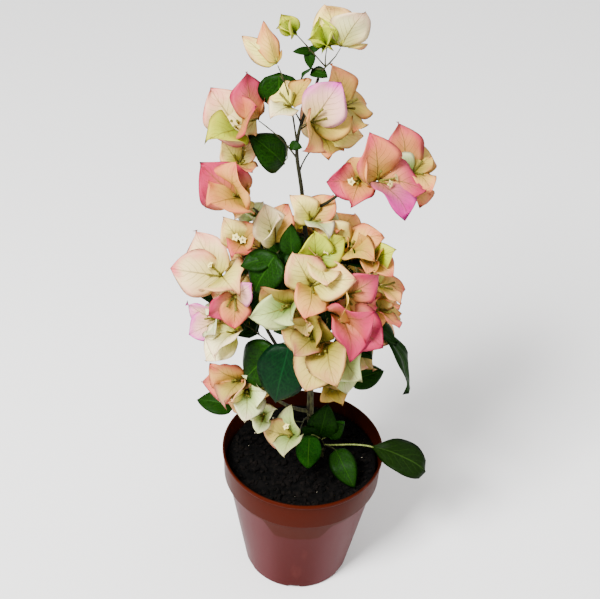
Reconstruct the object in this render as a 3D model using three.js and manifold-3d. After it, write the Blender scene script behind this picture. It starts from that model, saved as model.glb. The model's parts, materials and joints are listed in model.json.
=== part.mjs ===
// A young bougainvillea in blossom, planted in a round plastic nursery pot.
// Millimetres, +Z up. The origin is the centre of the pot's flat underside, and -Y is the front.
// The pot and its soil are turned shapes. The main stem, the canes and the masses of blossom and
// leaves are grown by the functions below from the sizes and the planting plan that follow.

import * as THREE from "three";
import { mergeVertices } from "three/addons/utils/BufferGeometryUtils.js";
import Module from "manifold-3d";

const wasm = await Module();
wasm.setup();

// Pot sizes
const potHeight = 146;
const potFootRadius = 50;
const potBodyRadius = 69.5;
const potRimRadius = 75;
const collarHeight = 31;
const collarRadius = 73;
const potWall = 1.8;
const potFloor = 3;
const potSegments = 36;
const notchCount = 6;
const notchWidth = 13;
const notchHeight = 3.2;
const notchDepth = 4;

// Soil sizes
const soilHeight = 129;
const soilRise = 1.6;

// Clearance between two solids that meet, and the little more that faceted sleeves need
const clearance = 0.3;
const sleeveClearance = 0.42;
const gapTolerance = 0.01;
const sliver = 0.05;

// Limb sizes
const limbSides = 8;
const limbSpacing = 18;
const flareGain = 0.42;
const flareFade = 9;
const elbowReach = 0.62;
const elbowRise = 0.4;

// Twig sizes
const twigSides = 3;
const stalkRadius = 1.15;
const twigRadius = 0.9;
const twigTipRadius = 0.65;
const petioleRadius = 0.6;
const twigRings = 3;
const bows = [0, 0.15, -0.15, 0.3, -0.3, 0.45, -0.45];
const bowSpan = 40;
const easings = [0, 0.8, 2.5];
const evenStep = 0.4;
const leastJoint = 0.02;
const sideLean = 0.4;
const forkShares = [0.4, 0.55, 0.3, 0.7];
const stalkShares = [0.25, 0.35, 0.45, 0.55, 0.65, 0.75, 0.85];
const stalkPlaces = 5;

// Blade sizes: bracts are the coloured leaves of a flower head, three to a head
const bractSides = 6;
const leafSides = 6;
const bractWidth = 0.92;
const leafWidth = 0.7;
const bladeThickness = 0.035;
const bractCurl = 0.6;
const bractCup = 0.03;
const leafCurl = 0.45;
const leafCup = -0.06;
const leafRootSunk = 2.2;
const bladeRidge = 0.42;
const edgeBias = 0.8;
const bractRootSet = 0.7;
const bractRootRise = 1.2;
const bractsPerHead = 3;
const tuckSteps = [[0, 1], [-8, 1], [8, 0.96], [-16, 0.92], [16, 0.9], [-24, 0.84], [24, 0.82], [-30, 0.74], [0, 0.66]];
const leafTrials = [1, 0.9, 0.8, 0.7, 0.58, 0.48];
const tubeLength = 12;
const tubeSunk = 4;
const tubeBundleRadius = 1.9;

// Colours of the solids
const finishes = {
  pot: { color: 0x7a3428, roughness: 0.28 },
  soil: { color: 0x17120f, roughness: 0.95 },
  bark: { color: 0x5e5a3c, roughness: 0.8 },
  leaf: { color: 0x2c5a2a, roughness: 0.5 },
  freshLeaf: { color: 0x3f7d35, roughness: 0.5 },
  cream: { color: 0xf0dfc4, roughness: 0.7 },
  blush: { color: 0xf2d3cb, roughness: 0.7 },
  peach: { color: 0xe6bb9c, roughness: 0.7 },
  tan: { color: 0xd3b585, roughness: 0.7 },
  rose: { color: 0xd8627f, roughness: 0.7 },
  lilac: { color: 0xe8b3dc, roughness: 0.7 },
  lime: { color: 0xb4bd4a, roughness: 0.7 },
  pale: { color: 0xe9eee2, roughness: 0.7 },
};

// Limbs. A limb stands on the soil at foot, or leaves its parent at a share of the parent's length.
const limbPlan = [
  {
    name: "main_stem", foot: [7, 15], radii: [3.3, 1.1],
    through: [[7, 14, 140], [4, 8, 195], [0, 3, 300], [-14, 0, 433], [-20, -6, 490], [-7, 0, 542]],
  },
  { name: "left_cane", parent: "main_stem", at: 0.22, tip: [-46, -10, 318], radii: [2.1, 1.3] },
  { name: "right_cane", parent: "main_stem", at: 0.25, tip: [34, -10, 330], radii: [2.1, 1.3] },
  { name: "front_cane", parent: "main_stem", at: 0.19, tip: [-2, -32, 322], radii: [2.1, 1.3] },
  { name: "back_cane", parent: "main_stem", at: 0.28, tip: [-6, 34, 325], radii: [2, 1.3] },
  { name: "back_left_cane", parent: "main_stem", at: 0.31, tip: [-46, 26, 318], radii: [1.9, 1.2] },
  { name: "back_right_cane", parent: "main_stem", at: 0.34, tip: [32, 26, 322], radii: [1.9, 1.2] },
  { name: "upper_left_cane", parent: "main_stem", at: 0.5, tip: [-42, -8, 376], radii: [1.7, 1.1] },
  { name: "upper_right_cane", parent: "main_stem", at: 0.53, tip: [8, -10, 386], radii: [1.7, 1.1] },
  { name: "left_arm", parent: "main_stem", at: 0.63, tip: [-50, -12, 424], radii: [1.6, 1.1] },
  { name: "right_arm", parent: "main_stem", at: 0.69, tip: [20, -12, 452], radii: [1.5, 1.1] },
  { name: "low_left_cane", parent: "main_stem", at: 0.13, tip: [-32, -22, 232], radii: [1.9, 1.2] },
  { name: "basal_shoot", foot: [18, 5], radii: [1.7, 1.2], through: [[18, 4, 136], [20, 2, 142]] },
];

// Masses. Each flower head is a row: the place of its base, the compass turn and the rise of the
// way it faces, the roll of its first bract, the gap to its second, how far its bracts open, their
// length, and its tint.
// Each leaf is a row: the place of its base, the place of its tip, and its width as a share of length.
const massPlan = [
  {
    name: "top_spray", limb: "main_stem", at: 1, finish: "cream",
    heads: [
      [8, -5, 572, 102, 30, 355, 58, 60, 35, "cream"],
      [-2, 0, 569, 3, 35, 284, 84, 79, 25, "lime"],
      [-25, -5, 581, 206, 26, 194, 126, 66, 17, "lime"],
    ],
    leaves: [[-15, 0, 565, -28, -4, 567, 0.5], [-11, 0, 548, 0, -6, 548, 0.8], [-13, 1, 549, -20, -7, 545, 0.8]],
  },
  {
    name: "peach_spray", limb: "main_stem", at: 0.86, finish: "peach",
    heads: [[-38, 5, 548, 123, 14, 290, 98, 28, 33, "peach"]],
    leaves: [[-37, 8, 537, -35, 2, 509, 0.95]],
  },
  {
    name: "upper_front_spray", limb: "main_stem", at: 0.875, finish: "blush",
    heads: [
      [-12, -25, 518, 335, 22, 250, 52, 65, 38, "lilac"],
      [12, 15, 509, 358, 37, 231, 108, 75, 34, "peach"],
    ],
    leaves: [[2, 12, 487, 17, 20, 494, 0.7]],
  },
  {
    name: "upper_cream_spray", limb: "main_stem", at: 0.905, finish: "cream",
    heads: [[-25, -10, 521, 185, 59, 11, 97, 64, 26, "cream"]],
    leaves: [],
  },
  {
    name: "upper_rose_spray", limb: "main_stem", at: 0.825, finish: "rose",
    heads: [[-50, -15, 511, 138, 5, 127, 120, 58, 37, "rose"]],
    leaves: [[-30, -10, 470, -55, -18, 499, 0.72]],
  },
  {
    name: "left_fan", limb: "left_arm", at: 1, finish: "blush",
    heads: [
      [-64, -10, 498, 235, 57, 301, 126, 40, 39, "blush"],
      [-65, -15, 468, 337, 70, 279, 82, 58, 24, "peach"],
    ],
    leaves: [],
  },
  {
    name: "left_rose_spray", limb: "left_arm", at: 0.72, finish: "rose",
    heads: [
      [-60, -25, 444, 226, 46, 338, 99, 25, 47, "rose"],
      [-58, -22, 440, 218, 44, 229, 122, 52, 23, "peach"],
    ],
    leaves: [],
  },
  {
    name: "right_tan_spray", limb: "main_stem", at: 0.79, finish: "tan",
    heads: [[-1, 10, 482, 329, 60, 127, 97, 66, 32, "tan"]],
    leaves: [],
  },
  {
    name: "right_spray", limb: "right_arm", at: 1, finish: "lilac",
    heads: [
      [31, -15, 462, 242, 34, 115, 90, 41, 30, "rose"],
      [43, -20, 466, 340, 41, 143, 69, 61, 41, "magenta"],
    ],
    leaves: [],
  },
  {
    name: "right_rose_spray", limb: "right_arm", at: 0.8, finish: "rose",
    heads: [
      [65, 10, 456, 350, 33, 268, 62, 76, 39, "salmon"],
      [72, 5, 458, 345, 66, 143, 111, 77, 24, "peach"],
    ],
    leaves: [],
  },
  {
    name: "crown_top_spray", limb: "upper_right_cane", at: 1, finish: "blush",
    heads: [
      [-6, -13, 417, 336, 63, 268, 106, 59, 28, "blush"],
      [-1, -38, 397, 317, 41, 289, 76, 52, 30, "lime"],
    ],
    leaves: [[-18, -34, 400, -21, -30, 424, 0.62]],
  },
  {
    name: "crown_top_right_spray", limb: "upper_right_cane", at: 0.7, finish: "peach",
    heads: [
      [23, -22, 396, 316, 77, 182, 59, 54, 33, "peach"],
      [42, -18, 387, 312, 26, 62, 126, 25, 28, "lime"],
    ],
    leaves: [],
  },
  {
    name: "crown_top_left_spray", limb: "upper_left_cane", at: 1, finish: "cream",
    heads: [
      [-33, -28, 403, 88, 80, 154, 83, 23, 33, "cream"],
      [-53, 10, 396, 272, 68, 314, 94, 25, 22, "pale"],
      [-60, -12, 390, 258, 54, 56, 126, 39, 28, "lime"],
    ],
    leaves: [],
  },
  {
    name: "crown_left_spray", limb: "left_cane", at: 1, finish: "blush",
    heads: [
      [-75, -20, 360, 215, 45, 67, 60, 60, 44, "blush"],
      [-75, -20, 315, 216, 4, 71, 74, 46, 32, "lilac"],
    ],
    leaves: [],
  },
  {
    name: "crown_left_front_spray", limb: "left_cane", at: 0.75, finish: "lilac",
    heads: [
      [-64, -38, 357, 275, 0, 119, 60, 64, 28, "magenta"],
      [-60, -42, 319, 178, 24, 202, 63, 66, 37, "cream"],
    ],
    leaves: [],
  },
  {
    name: "crown_front_spray", limb: "front_cane", at: 1, finish: "cream",
    heads: [[-2, -50, 381, 291, 48, 150, 116, 60, 36, "blush"]],
    leaves: [],
  },
  {
    name: "crown_front_left_spray", limb: "front_cane", at: 0.8, finish: "pale",
    heads: [[-16, -50, 360, 235, 23, 49, 81, 37, 36, "pale"]],
    leaves: [[-19, -40, 335, -6, -36, 352, 0.6]],
  },
  {
    name: "crown_front_right_spray", limb: "right_cane", at: 0.72, finish: "rose",
    heads: [
      [21, -55, 357, 309, 7, 127, 95, 27, 45, "rose"],
      [26, -48, 373, 322, 2, 232, 77, 60, 31, "salmon"],
    ],
    leaves: [],
  },
  {
    name: "crown_right_spray", limb: "right_cane", at: 1, finish: "peach",
    heads: [
      [53, -20, 360, 360, 53, 135, 64, 73, 25, "peach"],
      [54, -30, 342, 21, 47, 103, 87, 81, 27, "salmon"],
    ],
    leaves: [],
  },
  {
    name: "crown_low_front_spray", limb: "front_cane", at: 0.62, finish: "tan",
    heads: [
      [3, -60, 334, 227, 49, 104, 99, 42, 31, "tan"],
      [15, -60, 330, 225, 18, 194, 55, 60, 43, "peach"],
    ],
    leaves: [[10, -42, 358, 13, -46, 323, 0.6]],
  },
  {
    name: "crown_low_right_spray", limb: "right_cane", at: 0.5, finish: "pale",
    heads: [
      [29, -52, 315, 241, -1, 217, 52, 50, 34, "pale"],
      [37, -45, 309, 357, 32, 90, 86, 75, 25, "tan"],
      [23, -45, 275, 263, 3, 132, 105, 29, 23, "tan"],
    ],
    leaves: [],
  },
  {
    name: "low_left_spray", limb: "low_left_cane", at: 1, finish: "pale",
    heads: [
      [-54, -28, 253, 216, 13, 41, 80, 32, 37, "peach"],
      [-52, -38, 251, 279, 21, 84, 84, 33, 34, "pale"],
    ],
    leaves: [[-65, -30, 222, -97, -25, 222, 0.68]],
  },
  {
    name: "low_front_spray", limb: "main_stem", at: 0.11, finish: "cream",
    heads: [
      [-8, -47, 207, 203, 36, 22, 108, 54, 30, "cream"],
      [-36, -38, 220, 249, 41, 190, 119, 55, 19, "pale"],
    ],
    leaves: [],
  },
  {
    name: "left_leaves", limb: "upper_left_cane", at: 0.55, finish: "leaf",
    heads: [],
    leaves: [[-32, -36, 391, -50, -46, 366, 0.8], [-26, -28, 388, -38, -26, 406, 0.75], [-36, -34, 360, -52, -38, 342, 0.7]],
  },
  {
    name: "front_leaves", limb: "front_cane", at: 0.42, finish: "leaf",
    heads: [],
    leaves: [[-17, -56, 320, -26, -66, 262, 0.62], [-30, -46, 306, -54, -44, 264, 0.8]],
  },
  {
    name: "right_leaves", limb: "right_cane", at: 0.3, finish: "leaf",
    heads: [],
    leaves: [[38, -34, 266, 66, -24, 271, 0.72], [60, -8, 300, 92, -20, 234, 0.24]],
  },
  {
    name: "basal_leaves", limb: "basal_shoot", at: 1, finish: "freshLeaf",
    heads: [],
    leaves: [
      [65, -6, 156, 118, -14, 133, 0.68], [31, -9, 152, 50, -38, 135, 0.62], [7, -10, 168, 6, -25, 139, 0.66],
      [15, 4, 162, 20, 10, 192, 0.7], [23, 6, 156, 37, 12, 170, 0.7],
    ],
  },
];

// Masses of the side away from the front, each placed on the crown's outer shell by compass turn and
// height: its name, limb, share of the limb, finish, then turn, height, heads, leaves, and seed.
const crownCentre = new THREE.Vector3(-10, 0, 312);
const crownRadii = new THREE.Vector3(62, 56, 92);
const farPlan = [
  ["right_side_spray", "right_cane", 0.85, "peach", 8, 318, 2, 2, 11],
  ["back_right_spray", "back_right_cane", 1, "blush", 44, 350, 2, 2, 12],
  ["back_right_low_spray", "back_right_cane", 0.6, "cream", 42, 292, 2, 3, 13],
  ["back_spray", "back_cane", 1, "peach", 88, 356, 2, 2, 14],
  ["back_low_spray", "back_cane", 0.55, "tan", 86, 290, 2, 3, 15],
  ["back_left_spray", "back_left_cane", 1, "blush", 132, 350, 2, 2, 16],
  ["back_left_low_spray", "back_left_cane", 0.6, "cream", 130, 286, 2, 3, 27],
  ["left_side_spray", "left_cane", 0.5, "lilac", 172, 286, 2, 2, 18],
];
const farTints = ["cream", "peach", "blush", "pale"];
const farBractLength = 33;
const farHeadSwing = 13;
const farHeadRise = 13;
const farShellDepth = 10;
const farLeafLength = 36;
const farStalkLength = 5;

// A repeatable run of numbers between 0 and 1
function seededRandom(seed) {
  let state = (seed * 2654435761) >>> 0;
  return () => {
    state = (Math.imul(state, 1664525) + 1013904223) >>> 0;
    return state / 4294967296;
  };
}

function radians(degrees) {
  return THREE.MathUtils.degToRad(degrees);
}

// The way that something faces: compass turn from +X towards +Y, and rise above the level
function facing(turn, rise) {
  const level = Math.cos(radians(rise));
  return new THREE.Vector3(level * Math.cos(radians(turn)), level * Math.sin(radians(turn)), Math.sin(radians(rise)));
}

// A closed geometry as a solid that can be joined and cut
function toSolid(geometry) {
  geometry.deleteAttribute("normal");
  geometry.deleteAttribute("uv");
  const merged = mergeVertices(geometry);
  const corners = merged.index.array;
  const triangles = [];
  for (let i = 0; i < corners.length; i += 3) {
    const [a, b, c] = corners.slice(i, i + 3);
    if (a !== b && b !== c && c !== a) {
      triangles.push(a, b, c);
    }
  }
  return new wasm.Manifold(new wasm.Mesh({
    numProp: 3, vertProperties: merged.attributes.position.array, triVerts: Uint32Array.from(triangles),
  }));
}

// Join solids into one body: a scrap that joins nothing is dropped, a sealed hollow is filled, and
// slivers finer than the tolerance are smoothed away
function fuse(solids) {
  const bodies = wasm.Manifold.union(solids).decompose();
  return bodies.reduce((largest, body) => (body.volume() > largest.volume() ? body : largest)).simplify(sliver);
}

function toMesh(name, solid, finish) {
  const surface = solid.getMesh();
  const geometry = new THREE.BufferGeometry();
  geometry.setAttribute("position", new THREE.BufferAttribute(surface.vertProperties, surface.numProp));
  geometry.setIndex(new THREE.BufferAttribute(surface.triVerts, 1));
  geometry.computeVertexNormals();
  const mesh = new THREE.Mesh(geometry, new THREE.MeshStandardMaterial({ metalness: 0, ...finishes[finish] }));
  mesh.name = name;
  return mesh;
}

// A turned shape from a profile of radius and height
function turned(profile, segments) {
  const points = profile.map(([radius, height]) => new THREE.Vector2(radius, height));
  const geometry = new THREE.LatheGeometry(points, segments);
  geometry.rotateX(Math.PI / 2);
  return toSolid(geometry);
}

function makePot() {
  const collarFoot = potHeight - collarHeight;
  const pot = turned([
    [0, 0],
    [potFootRadius - 1.5, 0],
    [potFootRadius, 1.5],
    [potBodyRadius, collarFoot - 2],
    [collarRadius, collarFoot],
    [potRimRadius - 1, potHeight - 5],
    [potRimRadius, potHeight - 3.5],
    [potRimRadius, potHeight - 0.6],
    [potRimRadius - 0.6, potHeight],
    [potRimRadius - potWall, potHeight],
    [collarRadius - potWall, collarFoot + 1],
    [potBodyRadius - potWall, collarFoot - 1],
    [potFootRadius - potWall, potFloor],
    [0, potFloor],
  ], potSegments);
  const notches = [];
  for (let i = 0; i < notchCount; i += 1) {
    const notch = new THREE.BoxGeometry(notchDepth * 2, notchWidth, notchHeight * 2);
    notch.translate(potFootRadius + 1, 0, 0);
    notch.rotateZ((i + 0.5) * 2 * Math.PI / notchCount);
    notches.push(toSolid(notch));
  }
  return pot.subtract(wasm.Manifold.union(notches));
}

// The soil fills the pot to a little under the rim and lies slightly higher towards its edge
function makeSoil() {
  const collarFoot = potHeight - collarHeight;
  const inset = potWall + clearance;
  const slope = (collarRadius - potBodyRadius) / 2;
  return turned([
    [0, potFloor + clearance],
    [potFootRadius - inset - 1, potFloor + clearance],
    [potBodyRadius - inset - 0.6, collarFoot - 1.4],
    [collarRadius - inset - slope, collarFoot + 1.2],
    [collarRadius - inset - slope, soilHeight + soilRise],
    [potBodyRadius * 0.8, soilHeight],
    [0, soilHeight],
  ], potSegments);
}

// A tapering round limb or twig along a curve, with an optional flare at a foot that is cut level
function sweep(curve, { startRadius, endRadius, sides, rings, flare = 0 }) {
  const frames = curve.computeFrenetFrames(rings);
  const length = curve.getLength();
  const geometry = new THREE.CylinderGeometry(1, 1, 1, sides, rings);
  const position = geometry.attributes.position;
  for (let i = 0; i < position.count; i += 1) {
    const station = Math.round((position.getY(i) + 0.5) * rings);
    const along = station / rings;
    const swelling = 1 + flare * Math.exp(-along * length / flareFade);
    const radius = THREE.MathUtils.lerp(startRadius, endRadius, along) * swelling;
    const place = curve.getPointAt(along)
      .addScaledVector(frames.binormals[station], position.getX(i) * radius)
      .addScaledVector(frames.normals[station], position.getZ(i) * radius);
    if (flare > 0 && station === 0) {
      place.z = curve.getPointAt(0).z;
    }
    position.setXYZ(i, place.x, place.y, place.z);
  }
  return toSolid(geometry);
}

// The share of its full width that a blade has at a share of its length
function bladeOutline(along) {
  return Math.pow(Math.sin(Math.PI * Math.pow(along, 0.85)), 0.8);
}

// A leaf or bract: a thin lens with a pointed tip, arched along its length and cupped across.
// It lies along +X with its upper face up. The place of its ridge at a depth of sunk past the root
// is at the origin, so that a stalk that ends there is held fast.
function blade({ length, width, sides, curl, cup, sunk }) {
  const archAt = (along) => {
    const heading = curl * (along - 0.5);
    return [
      length * (Math.sin(heading) + Math.sin(curl / 2)) / curl,
      length * (Math.cos(heading) - Math.cos(curl / 2)) / curl,
    ];
  };
  const [setBack, setDown] = archAt(bladeRidge).map((value) => value * sunk / (length * bladeRidge));
  const geometry = new THREE.SphereGeometry(1, sides, 2);
  geometry.rotateX(Math.PI / 2);
  const position = geometry.attributes.position;
  for (let i = 0; i < position.count; i += 1) {
    const pole = position.getZ(i);
    const angle = Math.atan2(position.getY(i), position.getX(i));
    const onEdge = Math.abs(pole) < 0.5;
    const along = onEdge ? Math.pow((1 + Math.cos(angle)) / 2, edgeBias) : bladeRidge;
    const across = onEdge ? Math.sign(Math.round(Math.sin(angle) * 8)) * bladeOutline(along) : 0;
    const [x, arch] = archAt(along);
    const lift = cup * length * across * across + Math.round(pole) * length * bladeThickness / 2;
    position.setXYZ(i, x - setBack, across * length * width / 2, arch - setDown + lift);
  }
  return geometry;
}

// Place a blade with its root at a point, pointing one way, with its upper face towards another
function placeBlade(geometry, root, towards, upper) {
  const along = towards.clone().normalize();
  const normal = upper.clone().addScaledVector(along, -upper.dot(along)).normalize();
  const across = normal.clone().cross(along);
  geometry.applyMatrix4(new THREE.Matrix4().makeBasis(along, across, normal).setPosition(root));
  return toSolid(geometry);
}

// Limbs and masses stay clear of one another: every solid that is claimed is kept with its owner,
// and with the part of it, such as one head, that may touch it. Twigs belong to no part.
const claimed = [];

function claim(owner, part, solid) {
  claimed.push({ owner, part, solid, box: solid.boundingBox() });
}

function boxesMeet(a, b, gap) {
  return [0, 1, 2].every((axis) => a.min[axis] - gap < b.max[axis] && b.min[axis] - gap < a.max[axis]);
}

function isClear(owner, part, solid) {
  const box = solid.boundingBox();
  const isKin = (other) => other.owner === owner && (part === null || other.part === null || other.part === part);
  return claimed.every((other) => isKin(other) || !boxesMeet(box, other.box, clearance)
    || solid.minGap(other.solid, 2 * clearance) > clearance - gapTolerance);
}

const limbs = new Map();

function limbCurve(plan) {
  if (plan.foot) {
    const foot = [...plan.foot, soilHeight + clearance];
    return new THREE.CatmullRomCurve3([foot, ...plan.through].map((place) => new THREE.Vector3(...place)));
  }
  const start = limbs.get(plan.parent).curve.getPointAt(plan.at);
  const tip = new THREE.Vector3(...plan.tip);
  const elbow = new THREE.Vector3(
    THREE.MathUtils.lerp(start.x, tip.x, elbowReach),
    THREE.MathUtils.lerp(start.y, tip.y, elbowReach),
    THREE.MathUtils.lerp(start.z, tip.z, elbowRise),
  );
  return new THREE.QuadraticBezierCurve3(start, elbow, tip);
}

function growLimb(plan) {
  const curve = limbCurve(plan);
  const rings = Math.max(2, Math.round(curve.getLength() / limbSpacing));
  const [startRadius, endRadius] = plan.radii;
  const form = { startRadius, endRadius, sides: limbSides, rings, flare: plan.foot ? flareGain : 0 };
  const sleeveForm = { ...form, startRadius: startRadius + sleeveClearance, endRadius: endRadius + sleeveClearance };
  let solid = sweep(curve, form);
  if (plan.parent) {
    solid = fuse([solid.subtract(limbs.get(plan.parent).sleeve)]);
  }
  limbs.set(plan.name, { curve, solid, sleeve: sweep(curve, sleeveForm) });
  claim(plan.name, null, solid);
}

// Where a mass leaves its limb: past the tip by the clearance, or from the side out of the axis
function leaveLimb(plan, target) {
  const limb = limbs.get(plan.limb);
  const start = limb.curve.getPointAt(plan.at);
  const way = limb.curve.getTangentAt(plan.at);
  if (plan.at === 1) {
    start.addScaledVector(way, clearance);
  } else {
    way.multiplyScalar(sideLean).add(target.clone().sub(start).normalize()).normalize();
  }
  return { start, way };
}

// A twig from one place to another: it starts one way, bows to one side, and arrives another way
// that is eased towards the straight line between the two
function twigCurve([start, startWay, end, endWay], bow, easing) {
  const span = start.distanceTo(end);
  const chord = end.clone().sub(start).normalize();
  const arrival = endWay.clone().addScaledVector(chord, easing).normalize();
  const side = end.clone().sub(start).cross(new THREE.Vector3(0, 0, 1));
  if (side.length() < 1) {
    side.set(1, 0, 0);
  }
  side.setLength(bow * Math.min(span, bowSpan));
  const first = start.clone().addScaledVector(startWay, span * 0.35).add(side);
  const second = end.clone().addScaledVector(arrival, -span * 0.35).add(side);
  return new THREE.CubicBezierCurve3(start, first, second, end);
}

// Whether a curve keeps close enough to its own headings for a sweep with few rings
function isEven(curve, rings) {
  for (let i = 0; i < rings; i += 1) {
    const step = curve.getPointAt((i + 1) / rings).sub(curve.getPointAt(i / rings)).normalize();
    if (Math.min(step.dot(curve.getTangentAt(i / rings)), step.dot(curve.getTangentAt((i + 1) / rings))) < evenStep) {
      return false;
    }
  }
  return true;
}

function isJoined(solid, others) {
  return others.some((other) => other.intersect(solid).volume() > leastJoint);
}

// A twig of a mass in the first of the trial bows that is clear, cut back to the sleeve of its limb,
// and joined to the mass's other twigs if it has any
function clearTwig(mass, ends, form) {
  const twigSolids = mass.twigs.map((twig) => twig.solid);
  for (const easing of easings) {
    for (const bow of bows) {
      const curve = twigCurve(ends, bow, easing);
      if (!isEven(curve, form.rings)) {
        continue;
      }
      const solid = sweep(curve, form).subtract(limbs.get(mass.limb).sleeve);
      if (solid.volume() > leastJoint && isClear(mass.name, null, solid)
        && (twigSolids.length === 0 || isJoined(solid, twigSolids))) {
        return { curve, solid };
      }
    }
  }
  return null;
}

function headOf(row) {
  const [x, y, z, turn, rise, roll, gap, open, length, tint] = row;
  return { base: new THREE.Vector3(x, y, z), axis: facing(turn, rise), roll, gap, open, length, tint };
}

// Heads of a far mass: they stand by turns to either side of its middle, the left ones higher
function farHeads([, , , , turn, height, count, , seed]) {
  const random = seededRandom(seed);
  const heads = [];
  for (let i = 0; i < count; i += 1) {
    const side = i % 2 === 0 ? 1 : -1;
    const round = turn + side * farHeadSwing;
    const base = onShell(round, height + side * farHeadRise, farShellDepth);
    heads.push({
      base, axis: facing(round + 24 * (random() - 0.5), 18 + 30 * random()), roll: 120 * random(), gap: 108,
      open: 48 + 16 * random(), length: farBractLength * (0.9 + 0.2 * random()),
      tint: farTints[Math.floor(random() * farTints.length)],
    });
  }
  return heads;
}

// The place at a compass turn and a height, at a depth inside the crown's outer shell
function onShell(turn, height, depth) {
  const level = THREE.MathUtils.clamp((height - crownCentre.z) / crownRadii.z, -1, 1);
  const out = facing(turn, 0).multiplyScalar(Math.sqrt(1 - level * level));
  return new THREE.Vector3(out.x * (crownRadii.x - depth), out.y * (crownRadii.y - depth), height - crownCentre.z)
    .add(crownCentre);
}

// The twigs of a mass: the first is its stalk, and each other one leaves the stalk for its own head
function growTwigs(mass) {
  const targets = mass.heads.map((head) => ({ head, end: head.base, way: head.axis }));
  if (targets.length === 0) {
    const [base, tip] = leafEnds(mass.leaves[0]);
    targets.push({ head: null, end: base, way: tip.clone().sub(base).normalize() });
  }
  const { start, way } = leaveLimb(mass, targets[0].end);
  targets.forEach(({ head, end, way: endWay }, order) => {
    const isStalk = mass.twigs.length === 0;
    const form = {
      startRadius: isStalk ? stalkRadius : twigRadius, endRadius: twigTipRadius, sides: twigSides, rings: twigRings,
    };
    const origins = isStalk ? [start] : forkShares.map((share) => mass.twigs[0].curve.getPointAt(share));
    for (const origin of origins) {
      const originWay = isStalk ? way : end.clone().sub(origin).normalize();
      const twig = clearTwig(mass, [origin, originWay, end, endWay], form);
      if (twig) {
        claim(mass.name, null, twig.solid);
        mass.twigs.push(twig);
        mass.solids.push(twig.solid);
        if (head) {
          mass.grown.push(head);
        }
        return;
      }
    }
  });
}

// The bundle of tube flowers in the middle of a head, which its bracts' roots are sunk in
function tubeBundle(head) {
  const geometry = new THREE.SphereGeometry(1, 4, 2);
  geometry.scale(tubeBundleRadius, tubeLength / 2, tubeBundleRadius);
  const turn = new THREE.Quaternion().setFromUnitVectors(new THREE.Vector3(0, 1, 0), head.axis);
  geometry.applyQuaternion(turn);
  const middle = head.base.clone().addScaledVector(head.axis, tubeLength / 2 - tubeSunk);
  geometry.translate(middle.x, middle.y, middle.z);
  return toSolid(geometry);
}

// The ways that a head's bracts point: the first two are a gap apart and the third is opposite
function bractWay(head, order, tuck) {
  const up = new THREE.Vector3(0, 0, 1).addScaledVector(head.axis, -head.axis.z).normalize();
  const side = head.axis.clone().cross(up);
  const round = radians(head.roll + [0, head.gap, 180 + head.gap / 2][order]);
  const open = radians(head.open + tuck);
  return head.axis.clone().multiplyScalar(Math.cos(open))
    .addScaledVector(up, Math.sin(open) * Math.cos(round))
    .addScaledVector(side, Math.sin(open) * Math.sin(round));
}

// A blade in the first of its trial places and sizes that is clear of everything: of the other parts
// of its own mass too if it can be, or else only of the other masses and the limbs
function clearBlade(mass, part, trials) {
  for (const kinPart of [part, null]) {
    for (const trial of trials) {
      const solid = trial();
      if (isClear(mass.name, kinPart, solid)) {
        claim(mass.name, part, solid);
        mass.solids.push(solid);
        return true;
      }
    }
  }
  return false;
}

function growHead(mass, head, order) {
  const part = `head ${order}`;
  const bundle = tubeBundle(head);
  if (!isClear(mass.name, null, bundle)) {
    return;
  }
  claim(mass.name, part, bundle);
  mass.solids.push(bundle);
  const root = head.base.clone().addScaledVector(head.axis, bractRootRise);
  for (let bract = 0; bract < bractsPerHead; bract += 1) {
    const trials = tuckSteps.map(([tuck, size]) => () => {
      const form = { length: head.length * size, width: bractWidth, sides: bractSides, curl: bractCurl, cup: bractCup };
      const way = bractWay(head, bract, tuck);
      const foot = root.clone().addScaledVector(way, bractRootSet);
      return placeBlade(blade({ ...form, sunk: 0 }), foot, way, head.axis);
    });
    clearBlade(mass, part, trials);
  }
}

function leafEnds([x, y, z, tipX, tipY, tipZ]) {
  return [new THREE.Vector3(x, y, z), new THREE.Vector3(tipX, tipY, tipZ)];
}

// A leaf on its stalk, which leaves one of the nearest places on the mass's twigs
function growLeaf(mass, base, tip, width, order) {
  const way = tip.clone().sub(base).normalize();
  const form = { startRadius: petioleRadius, endRadius: petioleRadius, sides: twigSides, rings: 2 };
  const places = mass.twigs.flatMap((twig) => stalkShares.map((share) => twig.curve.getPointAt(share)));
  places.sort((a, b) => a.distanceTo(base) - b.distanceTo(base));
  let stalk = null;
  for (const place of places.slice(0, stalkPlaces)) {
    stalk ??= clearTwig(mass, [place, base.clone().sub(place).normalize(), base, way], form);
  }
  const isOnTwig = mass.twigs.some((twig) => twig.curve.getPointAt(1).distanceTo(base) < 0.1);
  if (stalk === null && !isOnTwig) {
    return;
  }
  const upper = new THREE.Vector3(base.x - crownCentre.x, base.y, 0).setLength(0.8).add(new THREE.Vector3(0, 0, 1));
  const trials = leafTrials.map((size) => () => {
    const length = tip.distanceTo(base) * size + leafRootSunk;
    const leaf = { length, width, sides: leafSides, curl: leafCurl, cup: leafCup, sunk: leafRootSunk };
    return placeBlade(blade(leaf), base, way, upper);
  });
  if (clearBlade(mass, `leaf ${order}`, trials) && !isOnTwig) {
    claim(mass.name, null, stalk.solid);
    mass.solids.push(stalk.solid);
  }
}

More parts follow.
